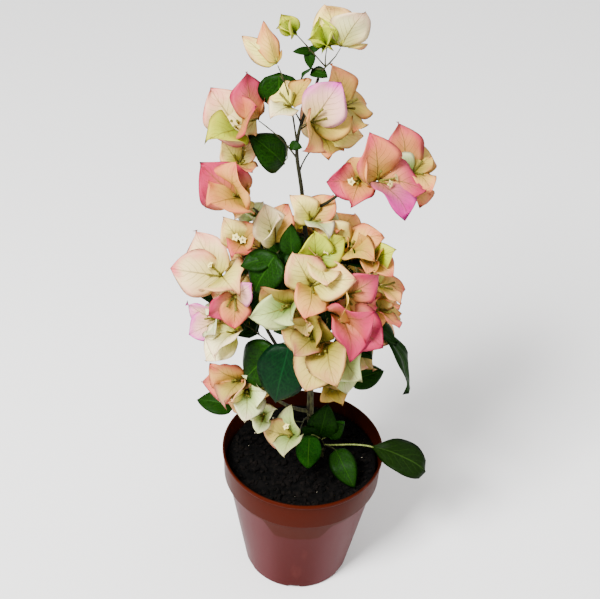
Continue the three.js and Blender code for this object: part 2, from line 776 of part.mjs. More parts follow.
// Leaves of a far mass: each springs from a twig by the seeded rule and points out and down
function farLeaves(mass) {
  const random = seededRandom(mass.seed + 100);
  for (let i = 0; i < mass.leafCount; i += 1) {
    const twig = mass.twigs[i % mass.twigs.length];
    const spring = twig.curve.getPointAt(0.4 + 0.4 * random());
    const out = new THREE.Vector3(spring.x - crownCentre.x, spring.y, 0).normalize();
    out.applyAxisAngle(new THREE.Vector3(0, 0, 1), 1.6 * (random() - 0.5)).setZ(0.3 - 0.9 * random()).normalize();
    const base = spring.clone().addScaledVector(out, farStalkLength);
    const length = farLeafLength * (0.75 + 0.4 * random());
    growLeaf(mass, base, base.clone().addScaledVector(out, length), leafWidth, `far ${i}`);
  }
}

const plant = new THREE.Group();
plant.add(toMesh("pot", makePot(), "pot"));
plant.add(toMesh("soil", makeSoil(), "soil"));

for (const plan of limbPlan) {
  growLimb(plan);
  plant.add(toMesh(plan.name, limbs.get(plan.name).solid, "bark"));
}

const blank = () => ({ twigs: [], grown: [], solids: [] });
const masses = massPlan.map((plan) => ({ ...plan, ...blank(), heads: plan.heads.map(headOf), leafCount: 0 }));
for (const row of farPlan) {
  const [name, limb, at, finish, , , , leafCount, seed] = row;
  masses.push({ name, limb, at, finish, ...blank(), heads: farHeads(row), leaves: [], leafCount, seed });
}
masses.forEach(growTwigs);
for (const mass of masses) {
  mass.leaves.forEach((row, order) => growLeaf(mass, ...leafEnds(row), row[6], order));
}
for (const mass of masses) {
  mass.grown.forEach((head, order) => growHead(mass, head, order));
}
for (const mass of masses) {
  farLeaves(mass);
  plant.add(toMesh(mass.name, fuse(mass.solids), mass.finish));
}

export default plant;
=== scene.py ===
"""A young bougainvillea in blossom in a round nursery pot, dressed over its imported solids.

Planting sizes are in millimetres, as in the solids' own source, and meshes are in metres.
"""

import json
import logging
from dataclasses import dataclass, field
from enum import Enum
from math import atan2, ceil, copysign, cos, exp, hypot, pi, radians, sin, sqrt, tau
from typing import Callable, Sequence

import bmesh
import bpy
from bmesh.types import BMEdge, BMesh, BMFace, BMVert
from bpy.types import Material, Node, NodeSocket, NodeTree
from mathutils import Matrix, Vector, noise

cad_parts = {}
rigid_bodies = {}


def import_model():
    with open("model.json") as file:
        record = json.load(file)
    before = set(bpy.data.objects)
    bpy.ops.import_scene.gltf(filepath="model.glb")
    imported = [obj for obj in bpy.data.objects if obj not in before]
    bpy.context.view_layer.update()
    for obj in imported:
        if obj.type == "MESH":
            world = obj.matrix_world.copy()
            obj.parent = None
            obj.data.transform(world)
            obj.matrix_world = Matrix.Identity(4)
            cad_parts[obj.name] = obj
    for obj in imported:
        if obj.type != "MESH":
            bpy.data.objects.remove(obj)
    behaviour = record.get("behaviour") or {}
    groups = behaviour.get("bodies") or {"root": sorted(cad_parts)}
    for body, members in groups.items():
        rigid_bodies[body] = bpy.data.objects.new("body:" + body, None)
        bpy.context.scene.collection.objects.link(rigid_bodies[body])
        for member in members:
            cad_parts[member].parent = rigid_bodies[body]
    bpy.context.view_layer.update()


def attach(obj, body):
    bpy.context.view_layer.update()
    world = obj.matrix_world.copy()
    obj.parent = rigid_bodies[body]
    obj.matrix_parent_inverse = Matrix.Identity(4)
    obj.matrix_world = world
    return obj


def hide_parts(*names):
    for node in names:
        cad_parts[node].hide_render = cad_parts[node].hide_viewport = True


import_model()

MM = 0.001
UP = Vector((0.0, 0.0, 1.0))
FRONT = Vector((0.0, -0.77, 0.64))
TWIG_ARM = 0.35
TWIG_DRAW = 0.8
LOG = logging.getLogger("bougainvillea")


class Tint(Enum):
    """A bract's colours at its base, middle and margin, and how far the margin's colour comes in."""

    CREAM = ("A0A016", "EEDA78", "E68E6C", 0.8)
    BLUSH = ("A8A01E", "F4D498", "E26A6C", 0.9)
    PEACH = ("9A8A16", "DCA250", "D05C48", 0.9)
    TAN = ("807C12", "C6A43E", "C4683C", 0.75)
    SALMON = ("A88E2A", "D07246", "BA2A4A", 0.95)
    ROSE = ("B48C34", "C03258", "A60A3E", 1.0)
    MAGENTA = ("B47A3E", "C63486", "AC0470", 1.0)
    LILAC = ("BEB246", "EEAEA4", "DA48B0", 1.0)
    LIME = ("607E08", "B0BC1C", "BEA62C", 0.5)
    PALE = ("769426", "D2E09C", "E0C4AA", 0.6)
    # The next three tints are painted shade: darker copies of cream, tan and pale, dealt to the sprays lower
    # in the crown.
    FADED = ("787410", "BCA44A", "B46C54", 0.85)
    KHAKI = ("5E6010", "98842A", "965A32", 0.75)
    SAGE = ("5C761C", "A6B86C", "AE9A7E", 0.6)
    IVORY = ("A0A028", "F0E6AA", "EEB898", 0.75)


CREAM, BLUSH, PEACH, TAN, SALMON, ROSE, MAGENTA, LILAC, LIME, PALE, FADED, KHAKI, SAGE, IVORY = Tint
SOFTER = {ROSE: PEACH, MAGENTA: BLUSH, SALMON: PEACH, LIME: CREAM}


class Foliage(Enum):
    """A green leaf's colours on its face, ribs and edge, and its roughness."""

    DARK = ("113204", "20440A", "081A03", 0.42)
    TEAL = ("05240D", "0A3214", "03170A", 0.42)
    FRESH = ("20560E", "40721C", "123A08", 0.42)
    SPOON = ("0F2204", "284012", "0A1802", 0.45)


DARK, TEAL, FRESH, SPOON = Foliage


class Reach(Enum):
    """The part of the plant that a mass belongs to."""

    TOP = "top"
    CROWN = "crown"
    BACK = "back"
    LOW = "low"


# Numbers and curves


class SeededRun:
    """A repeatable run of numbers between 0 and 1, the same as the solids' source uses."""

    def __init__(self, seed: int) -> None:
        """Start the run from a whole number that fixes it."""
        self.state = (seed * 2654435761) & 0xFFFFFFFF

    def __call__(self) -> float:
        """Returns the next number."""
        self.state = (self.state * 1664525 + 1013904223) & 0xFFFFFFFF
        return self.state / 4294967296

    def between(self, low: float, high: float) -> float:
        """Returns the next number, spread from low to high."""
        return low + (high - low) * self()


def facing(turn: float, rise: float) -> Vector:
    """Returns the unit vector of a compass turn, +X towards +Y, and a rise over the level, in degrees."""
    turned, raised = radians(turn), radians(rise)
    return Vector((cos(raised) * cos(turned), cos(raised) * sin(turned), sin(raised)))


def squared(vector: Vector, way: Vector) -> Vector:
    """Returns the unit vector of a vector's part that is square to a unit way."""
    return (vector - way * vector.dot(way)).normalized()


def axes(*columns: Vector) -> Matrix:
    """Returns the matrix that turns X, Y and Z to three unit vectors."""
    return Matrix(columns).transposed().to_4x4()


def upright_at(place: Vector, way: Vector) -> Matrix:
    """Returns the matrix that sets an upright shape at a place, in millimetres, with its top to a way."""
    return Matrix.Translation(place * MM) @ way.to_track_quat("Z", "Y").to_matrix().to_4x4()


@dataclass
class Path:
    """A curve held as close points, read by its share of length."""

    points: list[Vector]
    lengths: list[float] = field(default_factory=lambda: [0.0])

    def __post_init__(self) -> None:
        """Measure the curve."""
        for before, after in zip(self.points, self.points[1:]):
            self.lengths.append(self.lengths[-1] + (after - before).length)

    @property
    def length(self) -> float:
        """Returns the whole length."""
        return self.lengths[-1]

    def at(self, share: float) -> Vector:
        """The place at a share of the length.

        Args:
            share: From 0 at the start to 1 at the end.

        Returns:
            The point there.
        """
        target = min(max(share, 0.0), 1.0) * self.length
        i = next(i for i in range(1, len(self.points)) if self.lengths[i] >= target)
        span = self.lengths[i] - self.lengths[i - 1] or 1.0
        return self.points[i - 1].lerp(self.points[i], (target - self.lengths[i - 1]) / span)

    def heading(self, share: float) -> Vector:
        """Returns the unit vector along the curve at a share of its length."""
        step = 0.01
        return (self.at(min(share + step, 1.0)) - self.at(max(share - step, 0.0))).normalized()


def bezier(corners: Sequence[Vector], steps: int = 24) -> Path:
    """A Bezier curve of any degree, by repeated halving between its corners.

    Args:
        corners: Its control points.
        steps: How many straight steps stand for it.

    Returns:
        The curve.
    """
    places = []
    for i in range(steps + 1):
        level = list(corners)
        while len(level) > 1:
            level = [a.lerp(b, i / steps) for a, b in zip(level, level[1:])]
        places.append(level[0])
    return Path(places)


def bowed(start: Vector, lead: Vector | None, end: Vector, arrival: Vector, bow: Vector = Vector()) -> Path:
    """A twig's or stalk's curve.

    Args:
        start: Where it springs.
        lead: The way it sets out, or None for straight towards its end.
        end: Where it ends.
        arrival: The way that its end is drawn to.
        bow: How far its middle stands aside.

    Returns:
        The curve.
    """
    chord = (end - start).normalized()
    arm = (end - start).length * TWIG_ARM
    arrival = (arrival + chord * TWIG_DRAW).normalized()
    return bezier([start, start + (lead or chord) * arm + bow, end - arrival * arm + bow, end])


def smooth_through(places: Sequence[Vector], steps: int = 24) -> Path:
    """A centripetal Catmull-Rom curve through places.

    Args:
        places: The points it passes.
        steps: How many straight steps stand for each span.

    Returns:
        The curve.
    """
    ends = [places[0] * 2 - places[1], *places, places[-1] * 2 - places[-2]]
    result = [places[0].copy()]
    for a, b, c, d in zip(ends, ends[1:], ends[2:], ends[3:]):
        ab, bc, cd = ((q - p).length ** 0.5 for p, q in ((a, b), (b, c), (c, d)))
        out = ((b - a) / ab - (c - a) / (ab + bc) + (c - b) / bc) * bc
        into = ((c - b) / bc - (d - b) / (bc + cd) + (d - c) / cd) * bc
        for t in (i / steps for i in range(1, steps + 1)):
            square = (b * -3 + c * 3 - out * 2 - into) * t ** 2
            result.append(b + out * t + square + (b * 2 - c * 2 + out + into) * t ** 3)
    return Path(result)


# Finishes


def linear(code: str) -> tuple[float, float, float, float]:
    """Returns a hex colour as the linear colour that sockets take."""
    parts = [int(code[i:i + 2], 16) / 255 for i in (0, 2, 4)]
    return (*(c / 12.92 if c <= 0.04045 else ((c + 0.055) / 1.055) ** 2.4 for c in parts), 1.0)


class NodeSheet:
    """A node tree with short ways to add and join nodes."""

    def __init__(self, tree: NodeTree) -> None:
        """Take a tree to build in."""
        self.tree = tree

    def feed(self, socket: NodeSocket, value: object) -> None:
        """Join a socket to another node's output, or give it a value.

        Args:
            socket: The socket.
            value: A node's output, a hex colour or a plain value.
        """
        if isinstance(value, NodeSocket):
            self.tree.links.new(value, socket)
        else:
            socket.default_value = linear(value) if isinstance(value, str) else value

    def fill(self, node: Node, values: dict[str, object]) -> None:
        """Give a node its values.

        Args:
            node: The node.
            values: Its properties, or its sockets by name with _ for a space.
        """
        for name, value in values.items():
            if hasattr(node, name):
                setattr(node, name, value)
            else:
                self.feed(node.inputs[name.replace("_", " ")], value)

    def add(self, kind: str, *values: object, **named: object) -> Node:
        """Add a node.

        Args:
            kind: The node's type after its ShaderNode prefix.
            *values: What its first sockets are fed, in order.
            **named: Its properties and other sockets, as fill takes them.

        Returns:
            The new node.
        """
        node = self.tree.nodes.new(f"ShaderNode{kind}")
        self.fill(node, named)
        for socket, value in zip(node.inputs, values):
            self.feed(socket, value)
        return node

    def math(self, how: str, *values: object) -> NodeSocket:
        """Returns the result of a Math node's operation."""
        return self.add("Math", *values, operation=how).outputs[0]

    def times(self, first: object, second: object) -> NodeSocket:
        """Returns a product."""
        return self.math("MULTIPLY", first, second)

    def line(self, value: object, slope: object, start: object) -> NodeSocket:
        """Returns a value times a slope, plus a start."""
        return self.math("MULTIPLY_ADD", value, slope, start)

    def ramp(self, value: object, low: object, high: object) -> NodeSocket:
        """Returns a smooth step from 0 at low to 1 at high."""
        return self.add("MapRange", value, low, high, 0.0, 1.0, interpolation_type="SMOOTHSTEP").outputs[0]

    def noise(self, where: NodeSocket, scale: float, detail: float = 2.0) -> NodeSocket:
        """Returns a noise value read at a place."""
        return self.add("TexNoise", Vector=where, Scale=scale, Detail=detail).outputs["Fac"]

    def mix(self, share: object, first: object, second: object, how: str = "MIX") -> NodeSocket:
        """A colour mixed from two.

        Args:
            share: The share of the second.
            first: The first colour.
            second: The second colour.
            how: The way that they mix.

        Returns:
            The mixed colour's socket.
        """
        node = self.add("Mix", share, data_type="RGBA", blend_type=how)
        self.feed(node.inputs[6], first)
        self.feed(node.inputs[7], second)
        return node.outputs[2]

    def toned(self, colour: object, tone: NodeSocket) -> NodeSocket:
        """Returns a colour darkened or lightened by a plain tone."""
        return self.mix(1.0, colour, self.add("CombineColor", tone, tone, tone).outputs[0], "MULTIPLY")


@dataclass(frozen=True)
class BladeMarks:
    """The shared group that reads a blade's own map: its midrib, side veins, margin, base and mottle."""

    name: str = "blade marks"
    apart: float = 40.0
    ripple_grain: float = 6.0
    patch_grain: float = 2.4
    mottle_grain: float = 26.0
    vein_ripple: float = 0.07
    vein_slant: float = 0.45
    vein_width: float = 0.26
    vein_fade: tuple[float, float] = (0.95, 0.3)
    side_weight: float = 0.85
    patch_weight: float = 1.1
    margin_edge: tuple[float, float] = (0.3, 1.1)
    base_arch: float = 0.3
    base_edge: tuple[float, float] = (0.92, 0.1)

    def make(self) -> None:
        """Build the group."""
        tree = bpy.data.node_groups.new(self.name, "ShaderNodeTree")
        for name in ("Vein count", "Rib width"):
            tree.interface.new_socket(name, in_out="INPUT", socket_type="NodeSocketFloat")
        for name in ("Rib", "Veins", "Margin", "Base", "Mottle"):
            tree.interface.new_socket(name, in_out="OUTPUT", socket_type="NodeSocketFloat")
        sheet = NodeSheet(tree)
        given = tree.nodes.new("NodeGroupInput").outputs
        place = sheet.add("UVMap", uv_map="Blade").outputs[0]
        aside, along, _ = sheet.add("SeparateXYZ", place).outputs
        across = sheet.math("ABSOLUTE", sheet.line(aside, 2.0, -1.0))
        spread = sheet.add("Attribute", attribute_name="shade").outputs["Fac"]
        offset = sheet.add("CombineXYZ", Z=spread).outputs[0]
        shifted = sheet.add(
            "VectorMath", offset, (0.0, 0.0, self.apart), place, operation="MULTIPLY_ADD").outputs[0]
        ripple = sheet.math("SUBTRACT", sheet.noise(shifted, self.ripple_grain), 0.5)
        patch = sheet.math("SUBTRACT", sheet.noise(shifted, self.patch_grain), 0.5)
        bend = sheet.line(ripple, self.vein_ripple, sheet.line(across, -self.vein_slant, along))
        wave = sheet.math("SINE", sheet.times(bend, sheet.times(given["Vein count"], pi)))
        veins = sheet.ramp(sheet.math("ABSOLUTE", wave), self.vein_width, 0.0)
        outer = sheet.math("MAXIMUM", sheet.times(across, self.side_weight), sheet.times(along, along))
        sheet.fill(tree.nodes.new("NodeGroupOutput"), {
            "Rib": sheet.ramp(across, given["Rib width"], 0.0),
            "Veins": sheet.times(veins, sheet.ramp(across, *self.vein_fade)),
            "Margin": sheet.ramp(sheet.line(patch, self.patch_weight, outer), *self.margin_edge),
            "Base": sheet.ramp(sheet.line(across, self.base_arch, along), *self.base_edge),
            "Mottle": sheet.noise(shifted, self.mottle_grain, 3.0),
        })


class ShaderSheet(NodeSheet):
    """A new material's node tree, with its Principled node ready."""

    def __init__(self, name: str) -> None:
        """Start a material.

        Args:
            name: Its name.
        """
        self.material = bpy.data.materials.new(name)
        self.material.use_nodes = True
        super().__init__(self.material.node_tree)

    def place(self) -> NodeSocket:
        """Returns the place on the object, in metres."""
        return self.add("TexCoord").outputs["Object"]

    def drawn_out(self, place: NodeSocket, share: float) -> NodeSocket:
        """Returns a place for a grain that is drawn out along the upright, to one over a share."""
        return self.add("Mapping", Vector=place, Scale=(1.0, 1.0, share)).outputs[0]

    def marks(self, vein_count: float, rib_width: float) -> Sequence[NodeSocket]:
        """Returns the outputs of the shared group that reads a blade's map."""
        shared = bpy.data.node_groups[BladeMarks.name]
        return self.add("Group", node_tree=shared, Vein_count=vein_count, Rib_width=rib_width).outputs

    def under(self, value: NodeSocket, middle: float, half: float) -> NodeSocket:
        """Returns 1 under a size in millimetres and 0 over it, with an edge that is soft by half each way."""
        return self.ramp(value, (middle + half) * MM, (middle - half) * MM)

    def bump(self, height: NodeSocket, strength: float, depth: float) -> NodeSocket:
        """Returns the normal of a relief of a depth in millimetres."""
        return self.add("Bump", Strength=strength, Distance=depth * MM, Height=height).outputs[0]

    def dress(self, colour: object, roughness: object, **others: object) -> Material:
        """Feed the material's surface.

        Args:
            colour: Its base colour.
            roughness: Its roughness.
            **others: The Principled node's other sockets, as fill takes them.

        Returns:
            The material.
        """
        shader = self.tree.nodes["Principled BSDF"]
        self.fill(shader, {"Base_Color": colour, "Roughness": roughness, **others})
        return self.material


@dataclass(frozen=True)
class BractFinish:
    """A papery bract: olive-green at its base, and pinker towards its margin and tip."""

    tint: Tint
    vein: str = "6A5A1E"
    vein_strength: float = 0.28
    vein_at_base: float = 0.5
    vein_count: float = 7.0
    rib_strength: float = 0.12
    rib_width: float = 0.05
    pink_span: float = 0.5
    green: float = 0.95
    green_span: float = 0.25
    mottle: float = 0.2
    lightest: float = 1.04
    light_span: float = 0.24
    roughness: float = 0.62
    specular: float = 0.3
    relief: float = 0.8
    relief_depth: float = 0.4
    vein_relief: float = 0.6
    mottle_relief: float = 0.5

    def make(self) -> Material:
        """Make the finish.

        Returns:
            The material.
        """
        base, middle, margin, strength = self.tint.value
        sheet = ShaderSheet(f"bract_{self.tint.name.lower()}")
        marks = sheet.marks(self.vein_count, self.rib_width)
        spread = sheet.add("Attribute", attribute_name="shade").outputs["Fac"]
        pink = sheet.line(spread, self.pink_span, strength - self.pink_span / 2)
        pinker = sheet.times(marks["Margin"], pink)
        colour = sheet.mix(sheet.math("MINIMUM", pinker, 1.0), middle, margin)
        greener = sheet.times(marks["Base"], sheet.line(spread, -self.green_span, self.green))
        colour = sheet.mix(greener, colour, base)
        drawn = sheet.line(marks["Base"], self.vein_at_base, self.vein_strength)
        colour = sheet.mix(sheet.times(marks["Veins"], drawn), colour, self.vein)
        ribbed = sheet.math("ADD", drawn, self.rib_strength)
        colour = sheet.mix(sheet.times(marks["Rib"], ribbed), colour, self.vein)
        mottled = sheet.line(marks["Mottle"], self.mottle, 1.0 - self.mottle / 2)
        shadow = sheet.times(mottled, sheet.line(spread, -self.light_span, self.lightest))
        crumple = sheet.line(marks["Mottle"], self.mottle_relief, marks["Rib"])
        height = sheet.line(marks["Veins"], self.vein_relief, crumple)
        return sheet.dress(
            sheet.toned(colour, shadow), self.roughness, Specular_IOR_Level=self.specular,
            Normal=sheet.bump(height, self.relief, self.relief_depth))


@dataclass(frozen=True)
class LeafFinish:
    """A green leaf with a paler midrib and side veins, and a slight gloss."""

    kind: Foliage
    vein_count: float = 6.0
    rib_width: float = 0.06
    edge_share: float = 0.45
    vein_share: float = 0.3
    rib_share: float = 0.8
    mottle_edge: tuple[float, float] = (0.3, 0.75)
    roughness_span: float = 0.2
    specular: float = 0.1
    ior: float = 1.25
    relief: float = 0.6
    relief_depth: float = 0.3
    vein_relief: float = 0.5

    def make(self) -> Material:
        """Make the finish.

        Returns:
            The material.
        """
        face, rib, edge, roughness = self.kind.value
        sheet = ShaderSheet(f"leaf_{self.kind.name.lower()}")
        marks = sheet.marks(self.vein_count, self.rib_width)
        colour = sheet.mix(sheet.ramp(marks["Mottle"], *self.mottle_edge), face, edge)
        for part, share, tone in (
            ("Margin", self.edge_share, edge), ("Veins", self.vein_share, rib), ("Rib", self.rib_share, rib)
        ):
            colour = sheet.mix(sheet.times(marks[part], share), colour, tone)
        height = sheet.line(marks["Veins"], -self.vein_relief, sheet.times(marks["Rib"], -1.0))
        mottled = sheet.line(marks["Mottle"], self.roughness_span, roughness - self.roughness_span / 2)
        return sheet.dress(
            colour, mottled, Specular_IOR_Level=self.specular, IOR=self.ior,
            Normal=sheet.bump(height, self.relief, self.relief_depth))


@dataclass(frozen=True)
class StemFinish:
    """Bark or green stem: two tones in streaks and spots, darkening from a lower to a higher height."""

    name: str
    light: str
    dark: str
    roughness: float
    grain: float
    young: str = "121408"
    darkening: float = 0.0
    old_to: float = 190.0
    young_from: float = 330.0
    drawing_out: float = 0.22
    streak_edge: tuple[float, float] = (0.35, 0.68)
    spot_edge: tuple[float, float] = (0.6, 0.75)
    specular: float = 0.15
    relief: float = 0.5
    relief_depth: float = 0.3

    def make(self) -> Material:
        """Make the finish.

        Returns:
            The material.
        """
        sheet = ShaderSheet(self.name)
        place = sheet.place()
        streaks = sheet.noise(sheet.drawn_out(place, self.drawing_out), self.grain * 2, 4.0)
        spots = sheet.noise(place, self.grain, 3.0)
        colour = sheet.mix(sheet.ramp(streaks, *self.streak_edge), self.dark, self.light)
        colour = sheet.mix(sheet.ramp(spots, *self.spot_edge), colour, self.dark)
        height = sheet.add("SeparateXYZ", place).outputs[2]
        young = sheet.times(sheet.ramp(height, self.old_to * MM, self.young_from * MM), self.darkening)
        colour = sheet.mix(young, colour, self.young)
        return sheet.dress(
            colour, self.roughness, Specular_IOR_Level=self.specular,
            Normal=sheet.bump(streaks, self.relief, self.relief_depth))


@dataclass(frozen=True)
class PotFinish:
    """Glossy moulded plastic: rust-brown, with a painted mauve reflection over the lower body, lighter at the
    sides, and painted shade on the upper inner wall.
    """

    rust: str = "380D02"
    # The next two colours are a painted reflection: mauve over the lower body, and lighter where the body
    # turns to the sides.
    mauve_reflection: str = "401515"
    side_reflection: str = "4E2427"
    # This colour is painted shade on the upper inner wall.
    inner_shade: str = "190904"
    scuff: str = "8C4E44"
    reflection_share: float = 0.9
    reflection_waves: float = 4.0
    reflection_crest: tuple[float, float] = (-0.5, 0.4)
    reflection_top: float = 107.0
    reflection_wave: float = 17.0
    reflection_cloud: float = 10.0
    reflection_edge: float = 1.5
    cloud_grain: float = 24.0
    collar_slope: float = 0.0769
    wall_middle: float = 63.1
    wall_edge: float = 0.4
    inner_shade_from: float = 117.0
    inner_shade_to: float = 120.0
    inner_shade_share: float = 0.62
    scuff_share: float = 0.12
    scuff_edge: tuple[float, float] = (0.6, 0.9)
    scuff_grain: float = 60.0
    scuff_drawing_out: float = 0.3
    roughness: float = 0.3
    roughness_span: float = 0.12
    specular: float = 0.06
    ior: float = 1.22
    relief: float = 0.15
    relief_depth: float = 0.3

    def make(self) -> Material:
        """Make the finish.

        Returns:
            The material.
        """
        sheet = ShaderSheet("pot_plastic")
        place = sheet.place()
        x, y, z = sheet.add("SeparateXYZ", place).outputs
        # Painted reflection: a mauve band over the lower body whose top edge arches with the turn, lighter at
        # the sides.
        swing = sheet.math("COSINE", sheet.times(sheet.math("ARCTAN2", y, x), self.reflection_waves))
        height = sheet.line(sheet.ramp(swing, *self.reflection_crest), self.reflection_wave * MM, z)
        cloud = sheet.math("SUBTRACT", sheet.noise(place, self.cloud_grain, 3.0), 0.5)
        height = sheet.line(cloud, self.reflection_cloud * MM, height)
        reflected = sheet.under(height, self.reflection_top, self.reflection_edge)
        reflection_colour = sheet.mix(sheet.ramp(swing, -1.0, 1.0), self.side_reflection, self.mauve_reflection)
        colour = sheet.mix(sheet.times(reflected, self.reflection_share), self.rust, reflection_colour)
        fine = sheet.noise(sheet.drawn_out(place, self.scuff_drawing_out), self.scuff_grain, 3.0)
        scuffed = sheet.times(sheet.ramp(fine, *self.scuff_edge), self.scuff_share)
        colour = sheet.mix(scuffed, colour, self.scuff)
        # Painted shade: the upper inner wall is darkened towards the shade colour.
        flat = sheet.add("CombineXYZ", x, y).outputs[0]
        radius = sheet.add("VectorMath", flat, operation="LENGTH").outputs["Value"]
        lean = sheet.line(z, -self.collar_slope, radius)
        inside = sheet.under(lean, self.wall_middle, self.wall_edge)
        inner_shade = sheet.times(inside, sheet.ramp(z, self.inner_shade_from * MM, self.inner_shade_to * MM))
        colour = sheet.mix(sheet.times(inner_shade, self.inner_shade_share), colour, self.inner_shade)
        return sheet.dress(
            colour, sheet.line(fine, self.roughness_span, self.roughness),
            Specular_IOR_Level=self.specular, IOR=self.ior,
            Normal=sheet.bump(fine, self.relief, self.relief_depth))


@dataclass(frozen=True)
class SoilFinish:
    """Near-black crumbly compost."""

    name: str = "soil_compost"
    light: str = "0A0807"
    dark: str = "010101"
    grain: float = 220.0
    fine_grain: float = 900.0
    tone_edge: tuple[float, float] = (0.35, 0.75)
    roughness: float = 0.92
    specular: float = 0.06
    relief: float = 0.8
    relief_depth: float = 0.8

    def make(self) -> Material:
        """Make the finish.

        Returns:
            The material.
        """
        sheet = ShaderSheet(self.name)
        place = sheet.place()
        coarse = sheet.noise(place, self.grain, 5.0)
        colour = sheet.mix(sheet.ramp(coarse, *self.tone_edge), self.dark, self.light)
        height = sheet.math("ADD", coarse, sheet.noise(place, self.fine_grain, 3.0))
        return sheet.dress(
            colour, self.roughness, Specular_IOR_Level=self.specular,
            Normal=sheet.bump(height, self.relief, self.relief_depth))


@dataclass(frozen=True)
class PlainFinish:
    """A faintly mottled plain finish for tiny pieces and the floor."""

    name: str
    colour: str
    roughness: float = 0.7
    mottle: float = 0.1
    scale: float = 300.0

    def make(self) -> Material:
        """Make the finish.

        Returns:
            The material.
        """
        sheet = ShaderSheet(self.name)
        tone = sheet.line(sheet.noise(sheet.place(), self.scale), self.mottle, 1.0 - self.mottle / 2)
        return sheet.dress(sheet.toned(self.colour, tone), self.roughness)


# Mesh making


def stand(name: str, data: bpy.types.ID) -> bpy.types.Object:
    """Returns a new object that stands in the scene and holds the data."""
    bpy.context.scene.collection.objects.link(thing := bpy.data.objects.new(name, data))
    return thing


def faces_of(corners: Sequence[BMVert]) -> list[BMFace]:
    """Returns the faces that meet at any of the corners."""
    return list({face for corner in corners for face in corner.link_faces})


def station(path: Path, share: float, side: Vector, radius: float) -> tuple[Matrix, Vector]:
    """The frame of a tube's ring.

    Args:
        path: The tube's curve, in millimetres.
        share: The share of its length.
        side: The side direction of the ring before.
        radius: The ring's radius in millimetres.

    Returns:
        The matrix that puts a unit ring there, in metres, and this ring's side direction.
    """
    way = path.heading(share)
    side = squared(side, way)
    place = Matrix.Translation(path.at(share) * MM)
    return place @ axes(side, way.cross(side), way) @ Matrix.Scale(radius * MM, 4), side


class Piece:
    """One mesh in the making, which becomes an object at the origin."""

    def __init__(self, name: str) -> None:
        """Start an empty mesh.

        Args:
            name: The piece's name.
        """
        self.name = name
        self.mesh = bmesh.new()
        self.materials: list[Material] = []

    def to_data(self) -> bpy.types.Mesh:
        """Finish the mesh and let the one in the making go.

        Returns:
            The finished mesh.
        """
        data = bpy.data.meshes.new(self.name)
        self.mesh.to_mesh(data)
        self.mesh.free()
        for material in self.materials:
            data.materials.append(material)
        return data

    def paint(self, faces: Sequence[BMFace], material: Material, smooth: bool = True) -> None:
        """Give faces a material.

        Args:
            faces: The faces.
            material: Their material.
            smooth: Whether they are smooth.
        """
        if material not in self.materials:
            self.materials.append(material)
        for face in faces:
            face.material_index = self.materials.index(material)
            face.smooth = smooth

    def spin(self, outline: Sequence[tuple[float, float]], steps: int) -> None:
        """Spin an outline into a closed shell.

        Args:
            outline: Its places as radius and height in millimetres, from the axis to the axis.
            steps: How many steps stand for the full turn.
        """
        mesh = self.mesh
        corners = [mesh.verts.new((radius * MM, 0, height * MM)) for radius, height in outline]
        edges = [mesh.edges.new(pair) for pair in zip(corners, corners[1:])]
        bmesh.ops.spin(
            mesh, geom=corners + edges, axis=UP, cent=(0, 0, 0), dvec=(0, 0, 0), angle=tau,
            steps=steps, use_merge=True, use_duplicate=False, use_normal_flip=False)
        bmesh.ops.remove_doubles(mesh, verts=mesh.verts[:], dist=0.02 * MM)
        bmesh.ops.recalc_face_normals(mesh, faces=mesh.faces[:])

    def grow_tube(
        self, path: Path, radius: Callable[[float], float], sides: int, rings: int, material: Material
    ) -> list[BMVert]:
        """Extrude a closed round tube along a curve.

        Args:
            path: Its curve, in millimetres.
            radius: Its radius in millimetres by the share of its length.
            sides: Its number of sides.
            rings: Its number of lengths.
            material: Its finish.

        Returns:
            Its corners.
        """
        mesh = self.mesh
        matrix, side = station(path, 0.0, path.heading(0.0).orthogonal(), radius(0.0))
        corners = bmesh.ops.create_circle(
            mesh, cap_ends=True, segments=sides, radius=1.0, matrix=matrix)["verts"]
        faces = [corners[0].link_faces[0]]
        edges = list(faces[0].edges)
        for share in (i / rings for i in range(1, rings + 1)):
            grown = bmesh.ops.extrude_edge_only(mesh, edges=edges)["geom"]
            ring = {part for part in grown if isinstance(part, BMVert)}
            faces += [part for part in grown if isinstance(part, BMFace)]
            edges = [part for part in grown if isinstance(part, BMEdge) and set(part.verts) <= ring]
            before = matrix.inverted()
            matrix, side = station(path, share, side, radius(share))
            bmesh.ops.transform(mesh, matrix=matrix @ before, verts=list(ring))
            corners += ring
        faces += bmesh.ops.contextual_create(mesh, geom=edges)["faces"]
        bmesh.ops.recalc_face_normals(mesh, faces=faces)
        self.paint(faces, material)
        return corners

    def finish(self, slot: str, nodes: Sequence[str]) -> None:
        """Turn the mesh into an object that stands for solids.

        Args:
            slot: The record's material slot; not used.
            nodes: The solids that it replaces.
        """
        piece = stand(self.name, self.to_data())
        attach(piece, "root")
        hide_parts(*nodes)
        piece.data.calc_loop_triangles()
        LOG.info("%s: %d triangles, for %s", self.name, len(piece.data.loop_triangles), ", ".join(nodes))


@dataclass(frozen=True)
class BladeForm:
    """The form of a bract or a leaf."""

    width: float
    curl: float
    cup: float
    crease: float
    ruffle: float
    base_power: float
    tip_power: float
    bias: float
    thickness: float
    steps_along: int = 10
    steps_across: int = 6


BRACT_FORM = BladeForm(0.96, 0.6, 0.0, 0.1, 0.075, 0.52, 0.9, 0.78, 0.22, 14, 8)
YOUNG_FORM = BladeForm(0.9, 0.9, 0.16, 0.05, 0.02, 0.55, 0.9, 0.78, 0.3)
LEAF_FORM = BladeForm(0.7, 0.45, -0.09, 0.14, 0.02, 0.52, 0.84, 0.75, 0.35, 12, 8)
SPOON_FORM = BladeForm(0.66, 1.0, -0.05, 0.07, 0.04, 1.0, 0.42, 1.22, 0.4, 14, 8)
CRUMPLE = 0.05
CRUMPLE_GRAIN = (3.2, 1.6, 90.0)
CREASE_ROUND = 0.12
RUFFLES = 1.4
HOOK_START = 0.6
ROOM_MARGIN = 0.06
SEAM = 0.004


